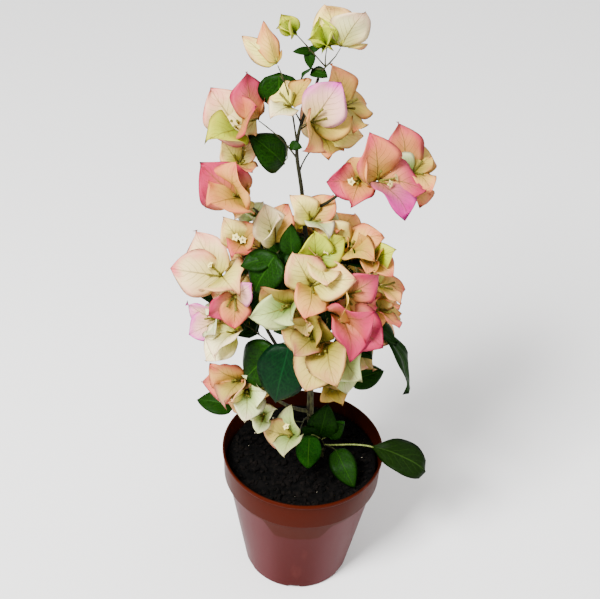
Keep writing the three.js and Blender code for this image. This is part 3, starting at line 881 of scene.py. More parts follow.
@dataclass
class Blade:
    """One bract or leaf in its place, in millimetres."""

    root: Vector
    way: Vector
    upper: Vector
    length: float
    width: float
    form: BladeForm
    material: Material
    shade: float
    wave: float
    hook: float = 0.0
    twist: float = 0.0

    @property
    def over(self) -> Vector:
        """Returns the unit vector out of its upper face."""
        return squared(self.upper, self.way)

    @property
    def matrix(self) -> Matrix:
        """Returns the matrix from its own axes to its place, in metres."""
        turned = axes(self.way, self.over.cross(self.way), self.over)
        return Matrix.Translation(self.root * MM) @ turned @ Matrix.Scale(MM, 4)

    def point(self, along: float, across: float, face: int) -> Vector:
        """The place of one of its points in its own axes, in millimetres.

        Args:
            along: Its share of the length.
            across: From -1 at one margin to 1 at the other.
            face: 1 on the upper face and -1 on the under face.

        Returns:
            The place.
        """
        form, middle = self.form, sin(pi * along)
        power = form.base_power + (form.tip_power - form.base_power) * along
        outline = max(0.0, sin(pi * along ** form.bias)) ** power
        heading, half_turn = form.curl * (along - 0.5), form.curl / 2
        grain = Vector(a * b for a, b in zip(CRUMPLE_GRAIN, (along, across, self.shade)))
        z = (cos(heading) - cos(half_turn)) / form.curl
        z += form.cup * across * across
        z += form.crease * (hypot(across, CREASE_ROUND) - CREASE_ROUND) * outline
        z += CRUMPLE * noise.noise(grain)
        z += form.ruffle * across * abs(across) * sin(tau * (RUFFLES * along + self.wave)) * middle
        z += self.hook * max(0.0, along - HOOK_START) ** 2 + self.twist * across * along * along
        return Vector((
            self.length * (sin(heading) + sin(half_turn)) / form.curl,
            across * self.length * self.width / 2 * outline,
            self.length * z + face * form.thickness * (1 - across * across) * middle / 2,
        ))


class BladePiece(Piece):
    """A mesh of many blades, each with its own room on a baking map."""

    def __init__(self, name: str) -> None:
        """Start with no blades."""
        super().__init__(name)
        self.blades: list[Blade] = []

    def grow(self) -> None:
        """Build the upper and the under face of every blade, and close their seam."""
        layers = self.mesh.loops.layers.uv
        maps = layers.new("Blade"), layers.new("OFBake")
        shade = self.mesh.verts.layers.float.new("shade")
        columns = ceil(sqrt(2 * len(self.blades)))
        for index, blade in enumerate(self.blades):
            sides, matrix = [], blade.matrix
            for side in (0, 1):
                row, column = divmod(2 * index + side, columns)
                corners = bmesh.ops.create_grid(
                    self.mesh, x_segments=blade.form.steps_along, y_segments=blade.form.steps_across, size=1.0
                )["verts"]
                faces = faces_of(corners)
                self.map_room(faces, maps, (column, row), columns)
                for corner in corners:
                    corner[shade] = blade.shade
                    corner.co = matrix @ blade.point((corner.co.x + 1) / 2, corner.co.y, 1 - 2 * side)
                if side:
                    bmesh.ops.reverse_faces(self.mesh, faces=faces)
                self.paint(faces, blade.material)
                sides += corners
            bmesh.ops.remove_doubles(self.mesh, verts=sides, dist=SEAM * MM)

    @staticmethod
    def map_room(faces: Sequence[BMFace], maps: Sequence, cell: tuple[int, int], columns: int) -> None:
        """Lay a flat grid on the pattern map and in its room on the baking map.

        Args:
            faces: The grid's faces.
            maps: The pattern map and the baking map.
            cell: The room's column and row.
            columns: How many columns there are.
        """
        for loop in (loop for face in faces for loop in face.loops):
            place = (loop.vert.co.y + 1) / 2, (loop.vert.co.x + 1) / 2
            loop[maps[0]].uv = place
            loop[maps[1]].uv = [
                (start + ROOM_MARGIN + (1 - 2 * ROOM_MARGIN) * share) / columns
                for start, share in zip(cell, place)]


# The planting plan


@dataclass(frozen=True)
class LimbPlan:
    """A limb: it stands on the soil at foot, or leaves its parent at a share of the parent's length."""

    name: str
    radii: tuple[float, float]
    sides: int = 10
    foot: tuple[float, float] | None = None
    through: tuple[tuple[float, float, float], ...] = ()
    parent: str = ""
    at: float = 0.0
    tip: tuple[float, float, float] = (0.0, 0.0, 0.0)


def cane(name: str, at: float, tip: tuple[float, float, float], radii: tuple[float, float]) -> LimbPlan:
    """Returns the plan of a cane that leaves the main stem."""
    return LimbPlan(name, radii, parent="main_stem", at=at, tip=tip)


LIMBS = (
    LimbPlan("main_stem", (3.3, 1.1), 14, (7, 15), (
        (7, 14, 140), (4, 8, 195), (0, 3, 300), (-14, 0, 433), (-20, -6, 490), (-7, 0, 542))),
    cane("left_cane", 0.22, (-46, -10, 318), (2.1, 1.3)),
    cane("right_cane", 0.25, (34, -10, 330), (2.1, 1.3)),
    cane("front_cane", 0.19, (-2, -32, 322), (2.1, 1.3)),
    cane("back_cane", 0.28, (-6, 34, 325), (2, 1.3)),
    cane("back_left_cane", 0.31, (-46, 26, 318), (1.9, 1.2)),
    cane("back_right_cane", 0.34, (32, 26, 322), (1.9, 1.2)),
    cane("upper_left_cane", 0.5, (-42, -8, 376), (1.7, 1.1)),
    cane("upper_right_cane", 0.53, (8, -10, 386), (1.7, 1.1)),
    cane("left_arm", 0.63, (-50, -12, 424), (1.6, 1.1)),
    cane("right_arm", 0.69, (20, -12, 452), (1.5, 1.1)),
    cane("low_left_cane", 0.13, (-32, -22, 232), (1.9, 1.2)),
    LimbPlan("basal_shoot", (1.7, 1.2), foot=(18, 5), through=((18, 4, 136), (20, 2, 142))),
)


@dataclass(frozen=True)
class Head:
    """A flower head: its base, the way it faces, and how its three bracts stand."""

    base: Vector
    axis: Vector
    roll: float
    gap: float
    open: float
    length: float
    tints: tuple[Tint, ...]
    stars: int = 0
    slim: float = 1.0


def head(*row: float | Tint, stars: int = 0, slim: float = 1.0) -> Head:
    """Returns a head from its base, turn, rise, roll, gap, opening and length, and its three tints."""
    return Head(Vector(row[:3]), facing(*row[3:5]), *row[5:9], row[9:], stars, slim)


@dataclass(frozen=True)
class LeafPlan:
    """A leaf: the places of its base and tip, and its width as a share of its length."""

    base: Vector
    tip: Vector
    width: float
    kind: Foliage = DARK
    frontal: bool = False

    @property
    def axis(self) -> Vector:
        """Returns the unit vector along it."""
        return (self.tip - self.base).normalized()


def leaf(*row: float, kind: Foliage = DARK, frontal: bool = False) -> LeafPlan:
    """Returns a leaf from its base, tip and width."""
    return LeafPlan(Vector(row[:3]), Vector(row[3:6]), row[6], kind, frontal)


@dataclass(frozen=True)
class Mass:
    """A mass: the limb that carries it, its heads and leaves, and what grows between or behind them."""

    name: str
    limb: str
    at: float
    heads: tuple[Head, ...] = ()
    leaves: tuple[LeafPlan, ...] = ()
    infill: int = 0
    far_leaves: int = 0
    far_seed: int = 0

    @property
    def seed(self) -> int:
        """Returns the whole number that its small chances come from."""
        return self.far_seed or len(self.name) + int(100 * self.at)


TOP_MASSES = (
    Mass("top_spray", "main_stem", 1, (
        head(8, -5, 572, 78, 30, 332, 58, 60, 35, CREAM, IVORY, CREAM),
        head(-2, 0, 568, 240, 68, 284, 120, 30, 25, LIME, LIME, LIME),
        head(-25, -5, 581, 206, 50, 194, 120, 25, 18, LIME, LIME, LIME),
    ), (
        leaf(-15, 0, 565, -27, -4, 566, 0.45, frontal=True),
        leaf(-15, 0, 565, -13, -6, 553, 0.55, frontal=True),
        leaf(-15, 0, 565, -6, -2, 571, 0.45, frontal=True),
        leaf(-11, 0, 548, 0, -6, 548, 0.8),
        leaf(-13, 1, 549, -20, -7, 545, 0.8),
    )),
    Mass("peach_spray", "main_stem", 0.86, (
        head(-38, 5, 548, 123, 14, 300, 62, 36, 34, CREAM, PEACH, TAN, slim=0.54),
    ), (
        leaf(-37, 8, 537, -35, 2, 509, 1.05, frontal=True),
    )),
    Mass("upper_front_spray", "main_stem", 0.875, (
        head(-12, -25, 518, 335, 22, 250, 52, 65, 38, TAN, LILAC, PEACH),
        head(12, 15, 509, 358, 37, 231, 108, 75, 34, TAN, PEACH, TAN),
    ), (
        leaf(2, 12, 487, 17, 20, 494, 0.7),
    )),
    Mass("upper_cream_spray", "main_stem", 0.905, (
        head(-25, -10, 521, 185, 59, 11, 97, 64, 26, TAN, CREAM, IVORY),
    )),
    Mass("upper_rose_spray", "main_stem", 0.825, (
        head(-50, -15, 511, 138, 5, 127, 120, 58, 37, ROSE, BLUSH, ROSE),
    ), (
        leaf(-30, -10, 470, -55, -18, 499, 0.72), leaf(-24, -9, 487, -16, -12, 487, 0.75, frontal=True),
    )),
    Mass("left_fan", "left_arm", 1, (
        head(-64, -10, 498, 235, 57, 301, 126, 40, 39, SALMON, BLUSH, LIME),
        head(-65, -15, 468, 337, 70, 279, 82, 58, 24, BLUSH, CREAM, PEACH, stars=1),
    )),
    Mass("left_rose_spray", "left_arm", 0.72, (
        head(-60, -25, 444, 226, 46, 338, 99, 25, 47, PEACH, ROSE, PEACH),
        head(-58, -22, 440, 218, 44, 229, 122, 52, 23, CREAM, CREAM, CREAM),
    )),
    Mass("right_tan_spray", "main_stem", 0.79, (
        head(-1, 10, 482, 329, 60, 127, 97, 66, 32, TAN, CREAM, BLUSH),
    )),
    Mass("right_spray", "right_arm", 1, (
        head(31, -15, 462, 242, 34, 115, 90, 41, 30, ROSE, SALMON, PEACH, stars=1),
        head(43, -20, 466, 340, 41, 143, 69, 61, 41, MAGENTA, ROSE, SALMON, stars=2),
    )),
    Mass("right_rose_spray", "right_arm", 0.8, (
        head(65, 10, 456, 350, 33, 268, 62, 76, 39, TAN, SALMON, PEACH),
        head(72, 5, 458, 345, 66, 143, 111, 77, 24, PEACH, TAN, PALE),
    )),
)
CROWN_MASSES = (
    Mass("crown_top_spray", "upper_right_cane", 1, (
        head(-6, -13, 417, 336, 63, 268, 106, 59, 28, PEACH, CREAM, PALE),
        head(-1, -38, 397, 317, 41, 289, 76, 52, 30, LIME, LIME, CREAM, stars=1),
    ), (
        leaf(-19, -42, 406, -21, -39, 432, 0.66),
    ), 2),
    Mass("crown_top_right_spray", "upper_right_cane", 0.7, (
        head(23, -22, 396, 316, 77, 182, 59, 54, 33, TAN, PEACH, CREAM),
        head(42, -18, 387, 312, 26, 62, 126, 25, 28, TAN, PEACH, LIME),
    ), (), 2),
    Mass("crown_top_left_spray", "upper_left_cane", 1, (
        head(-33, -28, 403, 88, 80, 154, 83, 23, 33, PEACH, IVORY, IVORY),
        head(-53, 10, 396, 272, 68, 314, 94, 25, 22, PALE, PALE, PALE),
        head(-60, -12, 390, 258, 54, 56, 126, 39, 28, CREAM, SALMON, PEACH, stars=2),
    )),
    Mass("crown_left_spray", "left_cane", 1, (
        head(-75, -20, 360, 215, 45, 67, 60, 60, 44, BLUSH, BLUSH, CREAM, stars=1),
        head(-75, -20, 315, 216, 4, 71, 74, 46, 32, LILAC, LILAC, PALE),
    ), (), 2),
    Mass("crown_left_front_spray", "left_cane", 0.75, (
        head(-64, -38, 357, 275, 0, 119, 60, 64, 28, ROSE, SALMON, LILAC),
        head(-60, -42, 319, 178, 24, 202, 63, 66, 37, IVORY, IVORY, CREAM),
    ), (), 1),
    Mass("crown_front_spray", "front_cane", 1, (
        head(-2, -50, 381, 291, 48, 150, 116, 60, 36, PEACH, CREAM, CREAM),
    ), (), 2),
    Mass("crown_front_left_spray", "front_cane", 0.8, (
        head(-16, -50, 360, 235, 23, 49, 81, 37, 36, KHAKI, SAGE, SAGE),
    ), (
        leaf(-19, -40, 335, -6, -36, 352, 0.6),
    ), 2),
    Mass("crown_front_right_spray", "right_cane", 0.72, (
        head(21, -55, 357, 309, 7, 127, 95, 27, 45, ROSE, ROSE, ROSE),
        head(26, -48, 373, 322, 2, 232, 77, 60, 31, SALMON, ROSE, TAN),
    ), (), 2),
    Mass("crown_right_spray", "right_cane", 1, (
        head(53, -20, 360, 360, 53, 135, 64, 73, 25, PEACH, PEACH, CREAM),
        head(54, -30, 342, 21, 47, 103, 87, 81, 27, SALMON, TAN, TAN),
    ), (), 2),
    # The sprays low in the crown take the darker tints, which are painted shade.
    Mass("crown_low_front_spray", "front_cane", 0.62, (
        head(3, -60, 334, 227, 49, 104, 99, 42, 31, FADED, FADED, KHAKI),
        head(15, -60, 330, 225, 18, 194, 55, 60, 43, FADED, FADED, KHAKI, stars=1),
    ), (
        leaf(10, -42, 358, 13, -46, 323, 0.6),
    ), 1),
    Mass("crown_low_right_spray", "right_cane", 0.5, (
        head(29, -52, 315, 241, -1, 217, 52, 50, 34, SAGE, SAGE, KHAKI),
        head(37, -45, 309, 357, 32, 90, 86, 75, 25, FADED, KHAKI, FADED),
        head(23, -45, 275, 263, 3, 132, 105, 29, 23, KHAKI, KHAKI, FADED),
    ), (), 1),
    Mass("left_leaves", "upper_left_cane", 0.55, (), (
        leaf(-32, -40, 401, -48, -50, 369, 0.95), leaf(-31, -35, 388, -27, -47, 362, 0.85),
        leaf(-37, -37, 396, -60, -40, 389, 0.75),
        leaf(-26, -28, 388, -38, -26, 406, 0.75),
        leaf(-36, -34, 360, -52, -38, 342, 0.7),
    )),
    Mass("front_leaves", "front_cane", 0.42, (), (
        leaf(-17, -56, 320, -26, -66, 262, 0.7, kind=TEAL),
        leaf(-30, -46, 306, -54, -44, 264, 0.8),
    )),
    Mass("right_leaves", "right_cane", 0.3, (), (
        leaf(38, -34, 266, 66, -24, 271, 0.72),
        leaf(61, -10, 304, 93, -20, 242, 0.3),
    )),
)
LOW_MASSES = (
    Mass("low_left_spray", "low_left_cane", 1, (
        head(-54, -28, 253, 216, 13, 41, 80, 32, 37, PEACH, SALMON, FADED),
        head(-52, -38, 251, 279, 21, 84, 84, 33, 34, CREAM, PALE, PALE),
    ), (
        leaf(-65, -30, 222, -97, -25, 222, 0.68),
    ), 1),
    Mass("low_front_spray", "main_stem", 0.11, (
        head(-8, -47, 207, 203, 36, 22, 108, 54, 30, SAGE, FADED, SAGE, stars=1),
        head(-36, -38, 220, 249, 41, 190, 119, 55, 19, PALE, PALE, PALE),
    )),
    Mass("basal_leaves", "basal_shoot", 1, (), (
        leaf(15, 3, 158, 20, 9, 192, 0.78, frontal=True),
        leaf(65, -6, 157, 117, -20, 143, 0.66, kind=SPOON),
        leaf(31, -9, 152, 50, -38, 134, 0.6, frontal=True),
        leaf(5, -10, 168, 6, -25, 140, 0.7, kind=FRESH, frontal=True),
        leaf(12, 1, 158, -2, -2, 172, 0.7, frontal=True),
        leaf(24, 3, 160, 36, 2, 176, 0.75, frontal=True),
        leaf(23, 6, 156, 37, 12, 170, 0.7, kind=FRESH),
    )),
)
CROWN_CENTRE = Vector((-10, 0, 312))
CROWN_RADII = Vector((62, 56, 92))
FAR_GAP = 108
FAR_SWING = 13
FAR_RISE = 13
FAR_DEPTH = 10
FAR_BRACT = 33
FAR_LEAF = 36
FAR_TINTS = (CREAM, PEACH, BLUSH, PALE)
FAR_TURNS = (-12, 12)
FAR_RISES = (18, 48)
FAR_OPENINGS = (48, 64)
FAR_SHARES = (0.9, 1.1)
ROLL_SPAN = 120


def far_mass(name: str, limb: str, at: float, *row: int) -> Mass:
    """A mass of the side away from the front, with two heads on the crown's outer shell.

    Args:
        name: Its name.
        limb: The limb that carries it.
        at: The share of the limb.
        *row: Its compass turn, its height, how many leaves it has, and the seed of its chances.

    Returns:
        The plan of the mass.
    """
    turn, height, leaves, seed = row
    run = SeededRun(seed)
    heads = []
    for stars, side in enumerate((1, -1)):
        around = turn + side * FAR_SWING
        rise = height + side * FAR_RISE
        level = min(max((rise - CROWN_CENTRE.z) / CROWN_RADII.z, -1.0), 1.0)
        out = facing(around, 0) * sqrt(1 - level * level)
        base = CROWN_CENTRE + out * (CROWN_RADII - Vector((FAR_DEPTH, FAR_DEPTH, 0)))
        base.z = rise
        axis = facing(around + run.between(*FAR_TURNS), run.between(*FAR_RISES))
        roll = ROLL_SPAN * run()
        opened = run.between(*FAR_OPENINGS)
        length = FAR_BRACT * run.between(*FAR_SHARES)
        tint = FAR_TINTS[int(run() * len(FAR_TINTS))]
        heads.append(Head(base, axis, roll, FAR_GAP, opened, length, (tint, CREAM, tint), stars))
    return Mass(name, limb, at, tuple(heads), (), 2, leaves, seed)


MASSES = {
    Reach.TOP: TOP_MASSES,
    Reach.CROWN: CROWN_MASSES,
    Reach.BACK: (
        far_mass("right_side_spray", "right_cane", 0.85, 8, 318, 2, 11),
        far_mass("back_right_spray", "back_right_cane", 1, 44, 350, 2, 12),
        far_mass("back_right_low_spray", "back_right_cane", 0.6, 42, 292, 3, 13),
        far_mass("back_spray", "back_cane", 1, 88, 356, 2, 14),
        far_mass("back_low_spray", "back_cane", 0.55, 86, 290, 3, 15),
        far_mass("back_left_spray", "back_left_cane", 1, 132, 350, 2, 16),
        far_mass("back_left_low_spray", "back_left_cane", 0.6, 130, 286, 3, 27),
        far_mass("left_side_spray", "left_cane", 0.5, 172, 286, 2, 18),
    ),
    Reach.LOW: LOW_MASSES,
}


# Sub-assemblies


class Palette:
    """Every finish of the plant, made once."""

    def __init__(self) -> None:
        """Make the shared group and all the materials."""
        BladeMarks().make()
        self.bracts = {tint: BractFinish(tint).make() for tint in Tint}
        self.leaves = {kind: LeafFinish(kind).make() for kind in Foliage}
        self.bark = StemFinish("stem_bark", "4A4A2C", "221E12", 0.75, 260.0, darkening=0.8).make()
        self.twig = StemFinish("twig_green", "3A3E1B", "1E1A0D", 0.7, 420.0).make()
        self.petiole = StemFinish("petiole_pale", "8C9650", "66743A", 0.6, 300.0).make()
        self.tube = StemFinish("flower_tube", "7A7626", "4A4016", 0.6, 700.0).make()
        self.star = PlainFinish("flower_star", "EEDC86").make()
        self.eye = PlainFinish("flower_eye", "6A6222").make()


@dataclass
class Limbs:
    """The main stem and the canes, with bark relief and thorns."""

    palette: Palette
    soil_height: float = 129.3
    ring_step: float = 5.0
    least_rings: int = 8
    flare: float = 0.42
    flare_fade: float = 9.0
    elbow_reach: float = 0.62
    elbow_rise: float = 0.4
    relief: float = 0.14
    ridge_grain: tuple[float, float, float] = (0.9, 0.9, 0.16)
    knot_grain: float = 0.11
    thorn_step: float = 31.0
    thorn_turn: float = 2.4
    thorn_lean: float = 0.35
    thorn_length: float = 4.2
    thorn_swing: float = 0.3
    thorn_beat: float = 1.7
    thorn_sides: int = 5
    thorn_sunk: float = 0.4
    thorn_radius: float = 0.42
    thorn_point: float = 0.06
    paths: dict[str, Path] = field(default_factory=dict)

    def build(self) -> None:
        """Build the limbs as one piece."""
        piece = Piece("stems")
        for plan in LIMBS:
            path = self.paths[plan.name] = self.curve(plan)
            rings = max(self.least_rings, round(path.length / self.ring_step))
            corners = piece.grow_tube(
                path, lambda share: self.girth(plan, share), plan.sides, rings, self.palette.bark)
            self.roughen(corners, path.at(0.0).z * MM)
            self.set_thorns(piece, plan)
        piece.finish("bark", [plan.name for plan in LIMBS])

    def curve(self, plan: LimbPlan) -> Path:
        """A limb's curve.

        Args:
            plan: The limb.

        Returns:
            The curve.
        """
        if plan.foot:
            return smooth_through([Vector((*plan.foot, self.soil_height)), *map(Vector, plan.through)])
        start = self.paths[plan.parent].at(plan.at)
        tip = Vector(plan.tip)
        elbow = start.lerp(tip, self.elbow_reach)
        elbow.z = start.z + (tip.z - start.z) * self.elbow_rise
        return bezier([start, elbow, tip])

    def girth(self, plan: LimbPlan, share: float) -> float:
        """Returns a limb's radius at a share of its length, with the flare at its foot."""
        swelling = exp(-share * self.paths[plan.name].length / self.flare_fade) if plan.foot else 0
        return (plan.radii[0] + (plan.radii[1] - plan.radii[0]) * share) * (1 + self.flare * swelling)

    def roughen(self, corners: Sequence[BMVert], foot: float) -> None:
        """Raise bark ridges on a limb, level where it meets the soil.

        Args:
            corners: The limb's corners.
            foot: The height of its foot in metres.
        """
        for corner in corners:
            place = corner.co / MM
            ridge = noise.noise(place * Vector(self.ridge_grain))
            knot = max(noise.noise(place * self.knot_grain), 0.0) / 2
            out = corner.normal if corner.normal.length > 0 else UP
            corner.co += out * (ridge + knot) * self.relief * MM
            corner.co.z = max(corner.co.z, foot)

    def set_thorns(self, piece: Piece, plan: LimbPlan) -> None:
        """Set the straight thorns of a limb, each turned further round it than the last.

        Args:
            piece: The limbs' piece.
            plan: The limb.
        """
        path = self.paths[plan.name]
        for i in range(1, int(path.length / self.thorn_step)):
            share = i * self.thorn_step / path.length
            way = path.heading(share)
            out = Matrix.Rotation(i * self.thorn_turn, 3, way) @ way.orthogonal().normalized()
            out = (out + way * self.thorn_lean).normalized()
            length = self.thorn_length * (1 - self.thorn_swing + self.thorn_swing * sin(i * self.thorn_beat))
            middle = path.at(share) + out * (self.girth(plan, share) + length / 2 - self.thorn_sunk)
            thorn = bmesh.ops.create_cone(
                piece.mesh, cap_ends=True, segments=self.thorn_sides, radius1=self.thorn_radius * MM,
                radius2=self.thorn_point * MM, depth=length * MM, matrix=upright_at(middle, out))["verts"]
            piece.paint(faces_of(thorn), self.palette.bark)


def outward(place: Vector) -> Vector:
    """Returns the level unit vector from the crown's upright axis to a place."""
    return Vector((place.x - CROWN_CENTRE.x, place.y, 0)).normalized()


def swung(way: Vector, turn: float, lift: float) -> Vector:
    """Returns a way turned round the upright, in radians, and lifted."""
    return (Matrix.Rotation(turn, 3, "Z") @ way + UP * lift).normalized()


@dataclass
class Sprays:
    """The masses of one part of the plant: their twigs, flower heads and leaves."""

    reach: Reach
    palette: Palette
    limbs: Limbs
    plans: tuple[Mass, ...]
    seed_step: int = 50
    far_seed: int = 100
    wave_seed: int = 300
    stalk_radius: float = 0.8
    twig_radius: float = 0.62
    tip_radius: float = 0.42
    petiole_radius: float = 0.45
    petiole_flare: float = 0.15
    petiole_ring_step: float = 6.0
    petiole_springs: tuple[float, ...] = (0.3, 0.4, 0.5, 0.6, 0.7, 0.8)
    spoon_swell: float = 1.7
    twig_sides: int = 6
    twig_ring_step: float = 7.0
    twig_bow: float = 0.09
    twig_knot: float = 0.06
    twig_knots: float = 23.0
    side_spring: float = 0.4
    side_lean: float = 0.4
    root_rise: float = 1.2
    root_set: float = 0.7
    turn_out: float = 0.6
    edge_on: float = 0.1
    bank: float = 0.24
    young_length: float = 26.0
    bract_widths: tuple[float, float] = (0.92, 1.04)
    bract_hooks: tuple[float, float] = (-0.8, 0.5)
    bract_twists: tuple[float, float] = (-0.14, 0.14)
    leaf_hooks: tuple[float, float] = (-0.25, 0.1)
    leaf_sunk: float = 2.2
    leaf_off: float = 5.0
    leaf_fall: float = 0.8
    leaf_width: float = 0.7
    infill_gap: float = 112.0
    infill_springs: tuple[float, float] = (0.35, 0.6)
    infill_turns: tuple[float, float] = (-1.1, 1.1)
    infill_lifts: tuple[float, float] = (-0.1, 0.9)
    infill_off: tuple[float, float] = (5.0, 9.0)
    infill_open: tuple[float, float] = (46.0, 62.0)
    infill_bracts: tuple[float, float] = (21.0, 27.0)
    infill_leaves: tuple[float, float] = (22.0, 30.0)
    fall_springs: tuple[float, float] = (0.3, 0.7)
    fall_turns: tuple[float, float] = (-1.3, 1.3)
    fall_lifts: tuple[float, float] = (-0.8, 0.1)
    far_springs: tuple[float, float] = (0.4, 0.8)
    far_turn: float = 1.6
    far_lift: float = 0.3
    far_fall: float = 0.9
    far_lengths: tuple[float, float] = (0.75, 1.15)
    tube_length: float = 13.0
    tube_share: float = 0.46
    tube_lengths: tuple[float, float] = (0.9, 1.12)
    tube_off: float = 0.6
    tube_bend: tuple[float, float] = (0.5, 0.2)
    tube_reach: float = 0.85
    tube_rises: tuple[float, float] = (0.45, 0.62)
    tube_radius: float = 0.66
    tube_belly: float = 0.38
    tube_belly_end: float = 0.45
    tube_mouth: float = 0.45
    tube_beat: float = 2.2
    tube_sides: int = 6
    tube_rings: int = 7
    star_radius: float = 3.8
    star_waist: float = 0.6
    star_rises: tuple[float, float] = (0.5, 0.9)
    star_eye: float = 1.75
    star_depth: float = 0.5
    star_thickness: float = 0.2

    def __post_init__(self) -> None:
        """Start the pieces, one of each kind."""
        self.bracts = BladePiece(f"{self.reach.value}_bracts")
        self.leaves = BladePiece(f"{self.reach.value}_leaves")
        self.twigs = Piece(f"{self.reach.value}_twigs")
        self.flowers = Piece(f"{self.reach.value}_flowers")

    def build(self) -> None:
        """Grow every mass and finish the pieces."""
        for order, plan in enumerate(self.plans):
            self.grow_mass(plan, SeededRun(plan.seed + self.seed_step * (order + 1)))
        self.bracts.grow()
        self.leaves.grow()
        for piece, slot in (
            (self.bracts, "cream"), (self.leaves, "leaf"), (self.twigs, "bark"), (self.flowers, "pale")
        ):
            piece.finish(slot, [plan.name for plan in self.plans])

    def grow_mass(self, plan: Mass, run: SeededRun) -> None:
        """Grow one mass.

        Args:
            plan: Its plan.
            run: The run of numbers for its small chances.
        """
        limb = self.limbs.paths[plan.limb]
        start, way = limb.at(plan.at), limb.heading(plan.at)
        first = (plan.heads or plan.leaves)[0]
        if plan.at < 1:
            way = (way * self.side_lean + (first.base - start).normalized()).normalized()
        paths: list[Path] = []
        for item in plan.heads or plan.leaves[:1]:
            origin, lead = (paths[0].at(self.side_spring), None) if paths else (start, way)
            thin = bool(paths) or not plan.heads
            paths.append(self.grow_twig(origin, lead, item.base, item.axis, thin, run))
            if plan.heads:
                self.grow_head(item, run)
        for item in plan.leaves:
            self.grow_leaf(item, paths, run)
        self.grow_infill(plan, paths, run)
        self.grow_far_leaves(plan, paths)

    def grow_twig(
        self, start: Vector, lead: Vector | None, end: Vector, arrival: Vector, thin: bool, run: SeededRun
    ) -> Path:
        """Grow a twig from a limb or another twig.

        Args:
            start: Where it springs.
            lead: The way it sets out, or None for straight towards its end.
            end: Where it ends.
            arrival: The way it arrives.
            thin: Whether it is a side twig.
            run: The run of numbers for its bow.

        Returns:
            Its curve.
        """
        span = (end - start).length
        side = (end - start).normalized().cross(UP)
        side = (side if side.length > 0.1 else Vector((1, 0, 0))).normalized()
        path = bowed(start, lead, end, arrival, side * span * run.between(-self.twig_bow, self.twig_bow))
        thick = self.twig_radius if thin else self.stalk_radius
        self.twigs.grow_tube(
            path,
            lambda share: thick + (self.tip_radius - thick) * share + self.twig_knot * sin(
                share * self.twig_knots),
            self.twig_sides, max(4, round(span / self.twig_ring_step)), self.palette.twig)
        return path

    def bract_way(self, item: Head, order: int) -> Vector:
        """The way that a head's bract points: the first two are a gap apart, the third opposite.

        Args:
            item: The head.
            order: The bract's number from 0.

        Returns:
            The unit vector along the bract.
        """
        up = squared(UP, item.axis)
        side = item.axis.cross(up)
        turned = radians(item.roll + (0, item.gap, 180 + item.gap / 2)[order])
        opened = radians(item.open)
        return item.axis * cos(opened) + (up * cos(turned) + side * sin(turned)) * sin(opened)

    def grow_head(self, item: Head, run: SeededRun) -> None:
        """Grow a flower head: three bracts, and a tube flower on each, some of them open.

        Args:
            item: The head.
            run: The run of numbers for small differences between its bracts.
        """
        root = item.base + item.axis * self.root_rise
        young = item.length < self.young_length and item.tints[0] is LIME
        form = YOUNG_FORM if young else BRACT_FORM
        frontal = item.axis.dot(FRONT)
        upper = item.axis + FRONT * (copysign(self.turn_out, frontal) if abs(frontal) > self.edge_on else 0)
        bank = 0.0 if young else -copysign(self.bank, frontal)
        for order in range(3):
            way = self.bract_way(item, order)
            width = form.width * item.slim * run.between(*self.bract_widths)
            material = self.palette.bracts[item.tints[order]]
            blade = Blade(
                root + way * self.root_set, way.normalized(), Matrix.Rotation(bank, 3, way) @ upper,
                item.length, width, form, material, run(), run(),
                run.between(*self.bract_hooks), run.between(*self.bract_twists))
            self.bracts.blades.append(blade)
            if not young:
                self.grow_tube_flower(blade, order < item.stars, run)

    def grow_tube_flower(self, blade: Blade, opened: bool, run: SeededRun) -> None:
        """Grow the tube flower that rises from a bract's midrib.

        Args:
            blade: The bract.
            opened: Whether it ends in an open star.
            run: The run of numbers for its length and lean.
        """
        length = min(self.tube_length, blade.length * self.tube_share) * run.between(*self.tube_lengths)
        foot = blade.root + blade.over * self.tube_off
        on, off = self.tube_bend
        mouth = blade.way * self.tube_reach + blade.over * run.between(*self.tube_rises)
        path = bezier([
            foot, foot + (blade.way * on + blade.over * off) * length, blade.root + mouth * length], 10)

        def girth(share: float) -> float:
            """Returns the tube's radius: swollen low, waisted, and wider at its mouth."""
            belly = sin(pi * share * self.tube_beat) if share < self.tube_belly_end else 0.0
            return self.tube_radius + self.tube_belly * belly + self.tube_mouth * share ** 3

        self.flowers.grow_tube(path, girth, self.tube_sides, self.tube_rings, self.palette.tube)
        if opened:
            self.grow_star(upright_at(path.at(1.0), path.heading(1.0)))

    def grow_star(self, matrix: Matrix) -> None:
        """Set a small five-lobed star on a tube's mouth.

        Args:
            matrix: The matrix that puts an upright star there.
        """
        mesh = self.flowers.mesh
        radius = self.star_radius * MM
        disc = bmesh.ops.create_circle(mesh, cap_ends=True, segments=10, radius=radius)["verts"]
        eye = disc[0].link_faces[0]
        for i, corner in enumerate(disc):
            corner.co *= self.star_waist if i % 2 else 1.0
            corner.co.z = self.star_rises[i % 2] * MM
        lobes = bmesh.ops.inset_individual(
            mesh, faces=[eye], thickness=self.star_eye * MM, depth=-self.star_depth * MM)["faces"]
        faces = [eye, *lobes]
        shell = bmesh.ops.solidify(mesh, geom=faces, thickness=self.star_thickness * MM)["geom"]
        faces += [part for part in shell if isinstance(part, BMFace)]
        corners = list({corner for part in faces for corner in part.verts})
        bmesh.ops.transform(mesh, matrix=matrix, verts=corners)
        bmesh.ops.recalc_face_normals(mesh, faces=faces)
        self.flowers.paint(faces, self.palette.star)
        self.flowers.paint([eye], self.palette.eye)

